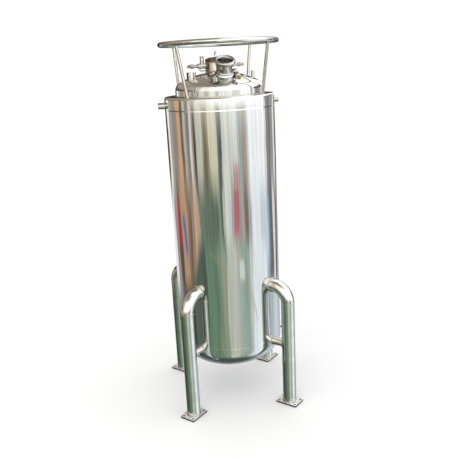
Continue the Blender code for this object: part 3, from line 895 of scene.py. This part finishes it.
def port_weld_path():
    """Where the leaning neck meets the dome, found by dropping each point onto it step by step."""
    path = []
    for x, y in circle(PORT_R, TUBE_SEGMENTS):
        low = -0.03
        for _ in range(24):
            point = PORT_FRAME @ Vector((x, y, low))
            low += (dome_z(point.x, point.y) - point.z) / cos(radians(PORT_LEAN))
        path.append(point)
    return path


def build_port():
    """The open neck: lower neck, gasket, upper neck with a rolled lip, and a clamp with two bolts."""
    foot, low = -0.02, PORT_JOINT - FERRULE_T
    neck = rounded([
        (PORT_BORE_R, foot, 0), (PORT_R, foot, 0), (PORT_R, low, FILLET),
        (FERRULE_R, low + FERRULE_SLOPE, FERRULE_CORNER), (FERRULE_R, PORT_JOINT, EASE),
        (PORT_BORE_R, PORT_JOINT, 0),
    ])
    piece("neck_lower", [turned(neck, place=PORT_FRAME)], ["port_neck"])
    base = PORT_JOINT + GASKET_T
    seal_r = FERRULE_R - 0.001
    seal = ((PORT_BORE_R, PORT_JOINT), (seal_r, PORT_JOINT), (seal_r, base), (PORT_BORE_R, base))
    seal = rounded([(radius, z, FINE_EASE) for radius, z in seal])
    piece("neck_gasket", [turned(seal, place=PORT_FRAME)], ["port_gasket"], SILICONE)
    shoulder = PORT_JOINT + CLAMP_HEIGHT / 2 + 0.0015
    waist_r = PORT_R - 0.0006
    under_lip = LIP_PLACE - LIP_R
    upper = rounded([
        (PORT_BORE_R, base, 0), (FERRULE_R, base, EASE),
        (FERRULE_R, base + FERRULE_T - FERRULE_SLOPE, FERRULE_CORNER),
        (PORT_R, base + FERRULE_T, FILLET), (PORT_R, shoulder, 0), (COLLAR_R, shoulder, FINE_EASE),
        (COLLAR_R, shoulder + 0.001, FINE_EASE), (waist_r, shoulder + 0.0045, 0.004),
        (waist_r, LIP_FLARE_Z, 0.014), (COLLAR_R, under_lip - FILLET, FILLET), (LIP_CENTRE, under_lip, 0),
    ], 8)
    upper += arc((LIP_CENTRE, LIP_PLACE), LIP_R, -80, 165, 24)
    upper += rounded([
        (LIP_CENTRE - LIP_R - 0.0002, LIP_PLACE - 0.002, 0), (PORT_BORE_R, under_lip - 0.002, FILLET),
        (PORT_BORE_R, under_lip - 0.010, 0),
    ], 6)[1:]
    solid = turned(upper, place=PORT_FRAME)
    top = piece("neck_upper", [solid], ["port_upper_neck"])
    top.data.materials.append(BORE_METAL)
    for face in top.data.polygons:
        if (PORT_FRAME.inverted() @ face.center).xy.length < PORT_BORE_R + FINE_EASE:
            face.material_index = 1
    for side, turn in (("front", 180), ("back", 0)):
        piece("clamp_half_" + side, [clamp_half(turn)], ["port_clamp_" + side])
    for side, turn in (("right", 0), ("left", 180)):
        build_clamp_bolt(side, turn)
    beads("neck_weld", [port_weld_path()], NECK_BEAD)


def clamp_half(turn):
    """Half of the clamp, grooved inside and with a drilled lug at each end."""
    half, groove = CLAMP_HEIGHT / 2, FERRULE_T + GASKET_T / 2
    inner_r, groove_r = PORT_R + CLAMP_PLAY, FERRULE_R + CLAMP_PLAY
    slope_r, fall = CLAMP_R - CLAMP_SLOPE[0], half - CLAMP_SLOPE[1]
    outline = rounded([
        (inner_r, -half, 0.0008), (slope_r, -half, FILLET), (CLAMP_R, -fall, 2 * FILLET),
        (CLAMP_R, fall, 2 * FILLET), (slope_r, half, FILLET), (inner_r, half, 0.0008),
        (inner_r, groove, 0), (groove_r, groove - 0.001, 0), (groove_r, -groove + 0.001, 0),
        (inner_r, -groove, 0),
    ], 6)
    skip = degrees(CLAMP_SPLIT / 2 / CLAMP_R)
    ring = turned(outline, FITTING_SEGMENTS, start=90 + skip, sweep=180 - 2 * skip)
    root = CLAMP_R - FILLET
    lugs, drills = [], []
    for side in (-1, 1):
        size = (LUG_REACH - root, LUG_LENGTH, LUG_HEIGHT)
        centre = (side * (root + LUG_REACH) / 2, (CLAMP_SPLIT + LUG_LENGTH) / 2, 0)
        lugs.append(block(size, centre, FILLET))
        place = move(side * BOLT_PLACE, 0, 0) @ turn_about("X", -90)
        drills.append(turned(rod(BOLT_R + CLAMP_PLAY, 0, 0.05), SMALL_SEGMENTS, place))
    made = carved(carved(ring, lugs, "UNION"), drills)
    made.transform(CLAMP_FRAME @ turn_about("Z", turn))
    return made


def build_clamp_bolt(side, turn):
    """A hexagon bolt through both lugs, with its washer and thread, and a bronze cap nut."""
    face = CLAMP_SPLIT / 2 + LUG_LENGTH
    place = CLAMP_FRAME @ turn_about("Z", turn) @ move(BOLT_PLACE, 0, 0) @ turn_about("X", 90)
    top, low, radius = -face - BOLT_HEAD_Z, -face - WASHER_T, BOLT_HEAD_R
    head = [(0, top), (radius - 0.0013, top), (radius, top + 0.0012), (radius, low), (0, low)]
    washer = [(BOLT_R, low, 0), (WASHER_R, low, 0.0003), (WASHER_R, -face, 0.0003), (BOLT_R, -face, 0)]
    sleeve = NUT_REACH[side] - min(NUT_REACH.values())
    shank = rod(BOLT_R - 0.0004, -face - 0.004, face + sleeve + 0.006)
    parts = [turned(head, 6, place)]
    parts += [turned(outline, SMALL_SEGMENTS, place) for outline in (rounded(washer), shank)]
    thread = joined([screw_thread(place @ move(0, 0, face - 0.026), Length=0.03)])
    piece("clamp_bolt_" + side, parts + [thread], ["port_bolt_" + side])
    nuts = []
    if sleeve:
        collar_r, end = 0.0074, face + sleeve
        collar = [(BOLT_R, face, 0), (collar_r, face, EASE), (collar_r, end, EASE), (BOLT_R, end, 0)]
        nuts.append(turned(rounded(collar), SMALL_SEGMENTS, place))
    face += sleeve
    top = face + 0.0075
    nut = [(0, face), (NUT_R, face), (NUT_R, top - 0.001), (NUT_R - 0.001, top), (0, top)]
    turns = [pi / 2 * i / 8 for i in range(8)]
    cap = [(NUT_CAP_R * cos(t), face + 0.008 + (NUT_HEIGHT - 0.008) * sin(t)) for t in turns]
    cap = [(0, face + 0.007), *cap, (0, face + NUT_HEIGHT)]
    nuts += [turned(nut, 6, place), turned(cap, SMALL_SEGMENTS, place)]
    piece("clamp_nut_" + side, nuts, ["port_nut_" + side], BRONZE)


def level_arm(side, start, end):
    """An arm of the crown fitting with its cone, ridged coupling and brass tip."""
    direction = 1 if end > start else -1
    length = abs(end - start)
    coupling = length - COUPLING_LENGTH
    neck = coupling - ARM_NECK_LENGTH
    place = move(start, 0, ARM_Z) @ turn_about("Y", 90 * direction)
    tube = [(0, 0), (ARM_R, 0)] + arc((ARM_R - ARM_CORNER, neck - CONE_LENGTH), ARM_CORNER, 0, 60, 4)
    tube += [(ARM_NECK_R, neck), (ARM_NECK_R, coupling), (0.0078, coupling + 0.0005)]
    for i in range(RIDGES):
        ridge = coupling + 0.001 + i * RIDGE_PITCH
        tube += [(RIDGE_R, ridge), (RIDGE_R, ridge + 0.0018)]
        tube += [(RIDGE_ROOT_R, ridge + 0.0024), (RIDGE_ROOT_R, ridge + 0.003)]
    tube += [(RIDGE_ROOT_R, length), (0, length)]
    piece("arm_" + side, [turned(tube, FITTING_SEGMENTS, place)], ["crown_arm_" + side])
    flat, end, mouth = length + 0.006, length + 0.007, length + TIP_LENGTH
    hexagon = [(0, length), (TIP_FLAT_R, length), (TIP_FLAT_R, flat), (TIP_FLAT_R - 0.0007, end), (0, end)]
    spout = [(0, flat), (TIP_R, flat)] + arc((TIP_R - 0.0012, mouth - 0.0012), 0.0012, 0, 90, 4)
    spout += [(TIP_BORE_R, mouth), (TIP_BORE_R, length + 0.008), (0, length + 0.008)]
    tips = [turned(hexagon, 6, place), turned(spout, SMALL_SEGMENTS, place)]
    piece("tip_" + side, tips, ["crown_tip_" + side], BRASS)


def open_pipe(radius, bore, low, high, floor):
    """An upright pipe outline with an eased mouth, open down to a floor."""
    ease = min(EASE, (radius - bore) / 3)
    top = arc((radius - ease, high - ease), ease, 0, 90, 3)
    top += arc((bore + ease, high - ease), ease, 90, 180, 3)
    return [(0, low), (radius, low)] + top + [(bore, floor), (0, floor)]


def build_crown():
    """The neck at the dome's top with its cap, arms, small tubes and the stem that bends back to it."""
    centre = move(CROWN_X, 0, 0)
    bore, groove_r = CROWN_R - CROWN_WALL, CROWN_R - 0.0015
    body = rounded([
        (bore, CROWN_FOOT_Z, 0), (CROWN_R, CROWN_FOOT_Z, 0), (CROWN_R, CROWN_CAP_Z - 0.003, EASE),
        (groove_r, CROWN_CAP_Z - 0.002, 0), (groove_r, CROWN_CAP_Z, 0), (bore, CROWN_CAP_Z, 0),
    ])
    piece("crown_housing", [turned(body, place=centre)], ["crown_body"])
    cap = rounded([
        (0, CROWN_CAP_Z, 0), (CROWN_R - EASE, CROWN_CAP_Z, FINE_EASE), (CROWN_R, CROWN_CAP_Z + 0.001, EASE),
        (CROWN_R, CROWN_SHOULDER_Z, 0.003), (CROWN_R * 0.62, CROWN_TOP_Z - 0.0018, 0.02),
        (0, CROWN_TOP_Z, 0),
    ], 6)
    piece("crown_lid", [turned(cap, place=centre)], ["crown_cap"], CAP_METAL)
    level_arm("left", CROWN_X - bore, LEFT_ARM_END)
    level_arm("right", CROWN_X + bore, RIGHT_ARM_END)
    tubes = {
        "arm_tube": ("crown_arm_tube", ARM_TUBE_X, ARM_TUBE_R, ARM_Z + 0.004, ARM_TUBE_TOP),
        "lid_tube": ("crown_cap_tube", CROWN_X, CAP_TUBE_R, CROWN_TOP_Z - 0.002, CAP_TUBE_TOP),
    }
    for name, (node, x, radius, low, top) in tubes.items():
        pipe = open_pipe(radius, radius - SMALL_TUBE_WALL, low, top, top - SMALL_TUBE_DEPTH)
        piece(name, [turned(pipe, SMALL_SEGMENTS, move(x, 0, 0))], [node])
    bend = [(STEM_X, 0, ARM_Z - ARM_R + 0.002), (STEM_X, 0, STEM_FOOT_Z)]
    bend.append((CROWN_X - CROWN_R + 0.002, 0, STEM_FOOT_Z))
    stem = grown(BENT_TUBE, [bend], FITTING_METAL, closed=False, Radius=STEM_R, Bend=STEM_BEND)
    show("stem", stem, ["crown_stem", "crown_stem_foot"])


def build_sockets():
    """The short sockets on the dome and the welds of everything that stands on it."""
    paths = []
    for name, (x, y, radius, bore, foot, top, floor) in SOCKETS.items():
        pipe = open_pipe(radius, bore, foot, top, floor)
        piece(name + "_pipe", [turned(pipe, FITTING_SEGMENTS, move(x, y, 0))], [name])
        paths.append(dome_ring(x, y, radius))
    x, y, _, bore, _, top, _ = SOCKETS["dome_socket"]
    ridges = screw_thread(move(x, y, top - 0.021), Radius=bore, Pitch=0.0023, Length=0.018)
    show("dome_socket_thread", ridges)
    beads("dome_welds", paths + [dome_ring(CROWN_X, 0, CROWN_R, 96)], FINE_BEAD)


# Studio

# The camera as the photograph was taken: at eye height, a little left of the front and slightly turned
CAMERA_PLACE = (-0.4476, -2.7913, 1.6334)
CAMERA_HEADING = -9.51
CAMERA_DROP = 15.70
CAMERA_ROLL = -2.77
LENS = 46.94
SENSOR = 36

# The key softbox: its place, what it is aimed at, its side and its power
KEY_PLACE = (-1.6, -2.4, 3.4)
KEY_AIM = (0, 0, 0.9)
KEY_SIZE = 2.0
KEY_POWER = 12

# What the polished steel mirrors, in rows by height: the camera azimuth where a band starts, and its colour
WALL = {
    -180: "#4A4642", -164: "#39425A", -157: "#4A4640", -147: "#EDEEEC", -134: "#A49C92", -122: "#8E8C86",
    -106: "#D0A27C", -93: "#6E6258", -86: "#B4AEA4", -78: "#8A857C", -70: "#DCDAD6", -64: "#9E948A",
    -60: "#564838", -54: "#BDBFBA", -47: "#C8C6B4", -43: "#95907E", -38: "#746C56", -30: "#968D74",
    -26: "#D4CEB6", -11: "#6E7672", -6: "#4E5855", -2: "#CFD2CC", 3: "#DCDED6", 12: "#C2C8BC",
    17: "#DADDD6", 30: "#BFC7BE", 35: "#96A5A3", 41: "#A29A94", 45: "#B09A8A", 50: "#C4C8CC",
    55: "#F4F8FC", 100: "#DCE0E4", 106: "#8E8885", 114: "#7C726F", 121: "#989494", 130: "#8E929A",
    139: "#E8E0D8", 149: "#5A5560", 163: "#3F4454", 172: "#4A4642",
}
SKIRT = {
    -180: "#E2E4E8", -141: "#98908C", -126: "#5A5048", -113: "#B49674", -91: "#8E7460", -85: "#746052",
    -79: "#988A7C", -74: "#CCA686", -62: "#A8A296", -57: "#7A7C6C", -50: "#6A7A69", -32: "#5F715F",
    -16: "#788B7C", -8: "#4C5A52", -3: "#B4B8AE", 1: "#D0D3CA", 14: "#9CAAA2", 21: "#9C9C92",
    31: "#A4A09C", 41: "#7E6C62", 49: "#A4A6AC", 55: "#C4CCD6", 60: "#E4EAF0", 80: "#CCD8E2",
    104: "#9AA8B4", 109: "#66707E", 124: "#E0DCD8", 136: "#74625E", 150: "#A8A2A2", 165: "#6A6266",
}
FLOOR = {
    -180: "#8A918E", -128: "#6E746E", -116: "#3C443E", -85: "#56645A", -60: "#4D5850", -49: "#68846E",
    -22: "#7C927F", -13: "#869886", -7: "#909F8E", -2: "#C0C5B9", 12: "#BCC0B6", 20: "#A8B2A7",
    27: "#9CB0A5", 33: "#8EAAA0", 41: "#A0ADA6", 47: "#C2C7C0", 54: "#DBE6EA", 62: "#E8F0F6",
    98: "#A4ADB4", 105: "#B4C0C8", 118: "#C6D2D8", 140: "#AEBBC2", 165: "#9AA6AC",
}
CEILING = {
    -180: "#827A6E", -160: "#8C8478", -125: "#8E8478", -95: "#9A9084", -70: "#B8B0A4", -52: "#E6E3D8",
    -25: "#FBFBF6", 15: "#FFFFFF", 60: "#FFFFFF", 120: "#DCDCDA", 146: "#F2F2F0", 168: "#C6C3BC",
}
ZENITH = {-180: "#7C7468", -30: "#8A8276", 10: "#B4AEA2", 40: "#F4F4F2", 90: "#FFFFFF", 170: "#686155"}
# Where the walls keep their bands further up and down: left of the tank and behind it
DEEP = {-180: "#FFFFFF", -72: "#000000", 100: "#FFFFFF", 152: "#000000"}
# Painted shade: a dark band just above the horizon where the walls are deep, which the steel mirrors as
# dark edges
PAINTED_SHADE = "#463E36"
UNDERSIDE = "#4C524C"
# Painted shade straight behind the tank: a dark patch that the steel mirrors
SHADE_BEHIND = {-180: "#FFFFFF", -168: "#000000", 168: "#FFFFFF"}
SHADE_BEHIND_COLOUR = "#3A342B"
SPLIT_AZIMUTH = 41
CAMERA_AZIMUTH = -9.1

# How softly the bands of each run into one another, in degrees
DEEP_SOFTNESS = 16
CEILING_SOFTNESS = 10
ZENITH_SOFTNESS = 14
SHADE_BEHIND_SOFTNESS = 5
# How far the bands' edges wander, as a share of the turn, and how much darker and lighter the streaks are
WANDER = 0.006
STREAKS = (0.88, 1.10)

# Elevations between which each thing sets in, in degrees
FLOOR_START = (-78, -48)
SKIRT_START = (-18.4, -15.4)
WALL_START = (-14, -9)
PAINTED_SHADE_START = (0, 2)
CEILING_START = (-8, 2)
ZENITH_START = (38, 58)
SHADE_BEHIND_START = (1, 3)
SHADE_BEHIND_END = (23, 17)
# How much lower the skirt sets in where the walls are deep, and how much higher the ceiling does
DEEP_SKIRT = 0.065
DEEP_CEILING = 0.25
# Strength of the light, and of what is mirrored low down and high up
LIGHT_STRENGTH = 1.06
MIRROR_STRENGTH = (1.24, 1.6)
MIRROR_HEIGHTS = (-0.12, 0.08)

# Lines and patches in the mirror: (colour, width in degrees, (elevation, azimuth) points)
FLOOR_LINES = (
    ("#A8906A", 2.8, ((-27.8, -46), (-27.0, -23), (-26.1, -12), (-25.1, -6.7), (-23.7, -4.9),
                      (-22.3, -3.3), (-20.9, -3.8), (-19.5, -8.6), (-18.7, -21), (-17.6, -40))),
    ("#B89C80", 2.6, ((-24.4, 66), (-22.8, 56), (-21.7, 46), (-20.9, 38), (-19.3, 32.5),
                      (-18.3, 30), (-17.2, 20))),
)
WALL_PATCHES = (
    ("#C0323C", 8, ((-16.9, -117), (-14.8, -120), (-12.4, -121))),
    ("#4A6EB4", 8, ((-17.9, -96.5), (-16.2, -99), (-13.9, -102))),
    ("#B89496", 13, ((-16.8, 24.5), (-13, 25.5), (-9.4, 27.5))),
    ("#B66E72", 9, ((-16.0, 24.5), (-11.8, 25.5))),
    ("#D0D4D2", 9, ((-20.6, 33), (-18.6, 32))),
)


def build_camera():
    """Puts the camera in its place."""
    lens = bpy.data.cameras.new("camera")
    lens.sensor_width = SENSOR
    lens.lens = LENS
    made = linked("camera", lens)
    turn = turn_about("Z", CAMERA_HEADING) @ turn_about("X", 90 - CAMERA_DROP)
    made.matrix_world = move(*CAMERA_PLACE) @ (turn @ turn_about("Z", CAMERA_ROLL))
    scene.camera = made


def turn_share(azimuth):
    """An azimuth's share of the turn from -180 to 180 degrees."""
    return (azimuth + 180) / 360


def colour_ramp(tree, value, stops):
    """A colour ramp with its stops of (position, linear colour)."""
    ramp = add_node(tree, "ShaderNodeValToRGB", {"Fac": value})
    elements = ramp.color_ramp.elements
    for i, (place, colour) in enumerate(stops):
        stop = elements[i] if i < 2 else elements.new(place)
        stop.position = place
        stop.color = colour
    return ramp


def band_ramp(tree, share, bands, soft=0):
    """Bands of colour over the azimuth, with each band's edges softened by some degrees."""
    bands = list(bands.items())
    if soft:
        ends = [start for start, _ in bands[1:]] + [180]
        bands = [(edge, colour) for (start, colour), end in zip(bands, ends)
                 for edge in (start + soft / 2, end - soft / 2)]
    ramp = colour_ramp(tree, share, [(turn_share(edge), linear(colour)) for edge, colour in bands])
    ramp.color_ramp.interpolation = "LINEAR" if soft else "CONSTANT"
    return ramp


def band_row(tree, share, bands):
    """A row with more bands than one ramp has stops for, from a ramp on either side of an azimuth."""
    halves = [{}, {}]
    for start, colour in bands.items():
        halves[start >= SPLIT_AZIMUTH][start] = colour
    split = [share, turn_share(SPLIT_AZIMUTH)]
    split = add_node(tree, "ShaderNodeMath", split, operation="GREATER_THAN")
    return blend_colours(tree, split, *[band_ramp(tree, share, half) for half in halves])


def step_between(tree, value, elevations):
    """A smooth step of a height of view from one elevation to another, in degrees."""
    low, high = [sin(radians(elevation)) for elevation in elevations]
    span = {"Value": value, "From Min": low, "From Max": high}
    return add_node(tree, "ShaderNodeMapRange", span, interpolation_type="SMOOTHSTEP")


def near_line(tree, share, slope, line, width):
    """Whether a direction lies on a line that is given by its azimuth at each elevation."""
    low, high = line[0][0], line[-1][0]
    along = spread(tree, slope, 0, 1, radians(low), radians(high))
    stops = [((rise - low) / (high - low), (*[turn_share(azimuth)] * 3, 1)) for rise, azimuth in line]
    centre = add_node(tree, "ShaderNodeSeparateColor", [colour_ramp(tree, along, stops)])
    on_line = add_node(tree, "ShaderNodeMath", [share, centre, width / 2 / 360], operation="COMPARE")
    # Beyond its ends a line would run on straight, so it stops just short of them
    inside = add_node(tree, "ShaderNodeMath", [along, 0.5, 0.48], operation="COMPARE")
    return add_node(tree, "ShaderNodeMath", [on_line, inside], operation="MULTIPLY")


def mirrored_room(tree, facing, x, y, height):
    """The colour of the studio in each direction: rows of bands, from the floor up to the zenith."""
    back = add_node(tree, "ShaderNodeMath", [y, -1.0], operation="MULTIPLY")
    angle = add_node(tree, "ShaderNodeMath", [x, back], operation="ARCTAN2")
    share = add_node(tree, "ShaderNodeMath", [angle, 1 / tau, 0.5], operation="MULTIPLY_ADD")
    # Edges of the bands wander by a degree or two with height
    wander = spread(tree, noise(tree, facing, 3.5, (1, 1, 2.5)), -WANDER, WANDER)
    share = add_node(tree, "ShaderNodeMath", [share, wander], operation="ADD")
    wall, skirt, floor = [band_row(tree, share, bands) for bands in (WALL, SKIRT, FLOOR)]
    slope = add_node(tree, "ShaderNodeMath", [height], operation="ARCSINE")
    for colour, width, line in FLOOR_LINES:
        floor = blend_colours(tree, near_line(tree, share, slope, line, width), floor, colour)
    floor = blend_colours(tree, step_between(tree, height, FLOOR_START), UNDERSIDE, floor)
    deep = band_ramp(tree, share, DEEP, DEEP_SOFTNESS)
    lowered = add_node(tree, "ShaderNodeMath", [deep, DEEP_SKIRT, height], operation="MULTIPLY_ADD")
    raised = add_node(tree, "ShaderNodeMath", [deep, -DEEP_CEILING, height], operation="MULTIPLY_ADD")
    low = blend_colours(tree, step_between(tree, lowered, SKIRT_START), floor, skirt)
    low = blend_colours(tree, step_between(tree, height, WALL_START), low, wall)
    for colour, width, line in WALL_PATCHES:
        low = blend_colours(tree, near_line(tree, share, slope, line, width), low, colour)
    # Fine upright streaks, about two degrees wide
    streaks = spread(tree, noise(tree, facing, 18, (1, 1, 0.05), 3.0), *STREAKS)
    low = add_node(tree, "ShaderNodeVectorMath", [low, streaks], operation="MULTIPLY")
    # Painted shade laid over the walls just above the horizon, where the walls are deep
    painted_shade = [deep, step_between(tree, height, PAINTED_SHADE_START)]
    painted_shade = add_node(tree, "ShaderNodeMath", painted_shade, operation="MULTIPLY")
    low = blend_colours(tree, painted_shade, low, PAINTED_SHADE)
    ceiling = band_ramp(tree, share, CEILING, CEILING_SOFTNESS)
    zenith = band_ramp(tree, share, ZENITH, ZENITH_SOFTNESS)
    high = blend_colours(tree, step_between(tree, raised, CEILING_START), low, ceiling)
    room = blend_colours(tree, step_between(tree, height, ZENITH_START), high, zenith)
    # Painted shade straight behind the tank, from just above the horizon upwards
    shade_behind = [step_between(tree, height, SHADE_BEHIND_START), step_between(tree, height, SHADE_BEHIND_END)]
    shade_behind = add_node(tree, "ShaderNodeMath", shade_behind, operation="MULTIPLY")
    shade_behind = [shade_behind, band_ramp(tree, share, SHADE_BEHIND, SHADE_BEHIND_SOFTNESS)]
    shade_behind = add_node(tree, "ShaderNodeMath", shade_behind, operation="MULTIPLY")
    return blend_colours(tree, shade_behind, room, SHADE_BEHIND_COLOUR)


def light_studio():
    """A white studio whose walls and floor give the polished steel the bands that it mirrors."""
    world = bpy.data.worlds.new("studio")
    scene.world = world
    world.use_nodes = True
    world.cycles.sampling_method = "NONE"
    tree = world.node_tree
    tree.nodes.clear()
    way = add_node(tree, "ShaderNodeTexCoord").outputs["Generated"]
    turn = {"Vector": way, "Angle": -radians(CAMERA_AZIMUTH)}
    facing = add_node(tree, "ShaderNodeVectorRotate", turn, rotation_type="Z_AXIS")
    x, y, height = add_node(tree, "ShaderNodeSeparateXYZ", [facing]).outputs
    bright = spread(tree, height, *MIRROR_STRENGTH, *MIRROR_HEIGHTS)
    mirrored = {"Color": mirrored_room(tree, facing, x, y, height), "Strength": bright}
    mirrored = add_node(tree, "ShaderNodeBackground", mirrored)
    plain = add_node(tree, "ShaderNodeBackground", {"Color": "#FFFFFF", "Strength": LIGHT_STRENGTH})
    is_glossy = add_node(tree, "ShaderNodeLightPath").outputs["Is Glossy Ray"]
    both = add_node(tree, "ShaderNodeMixShader", [is_glossy, plain, mirrored])
    add_node(tree, "ShaderNodeOutputWorld", {"Surface": both})
    light = bpy.data.lights.new("key_softbox", "AREA")
    light.shape = "RECTANGLE"
    light.size = light.size_y = KEY_SIZE
    light.energy = KEY_POWER
    softbox = linked("key_softbox", light)
    softbox.location = KEY_PLACE
    softbox.rotation_mode = "QUATERNION"
    softbox.rotation_quaternion = (Vector(KEY_AIM) - Vector(KEY_PLACE)).to_track_quat("-Z", "Y")
    softbox.visible_glossy = False


def build_floor():
    """A plain pale floor, left out of the mirror so that the steel keeps its bands."""
    bm = bmesh.new()
    bmesh.ops.create_grid(bm, x_segments=1, y_segments=1, size=30)
    surface = bpy.data.materials.new("pale_floor")
    surface.use_nodes = True
    shader = surface.node_tree.nodes["Principled BSDF"]
    pale = {"Base Color": "#FDFDFD", "Roughness": 0.9, "Specular IOR Level": 0.0}
    feed(surface.node_tree, shader, pale)
    mesh = plain_mesh(bm, "studio_floor")
    mesh.materials.append(surface)
    floor = linked("studio_floor", mesh)
    floor.visible_glossy = False


build_camera()
build_shells()
build_legs()
build_guard()
build_nozzles()
build_port()
build_crown()
build_sockets()
light_studio()
build_floor()
scene.view_settings.view_transform = "Standard"
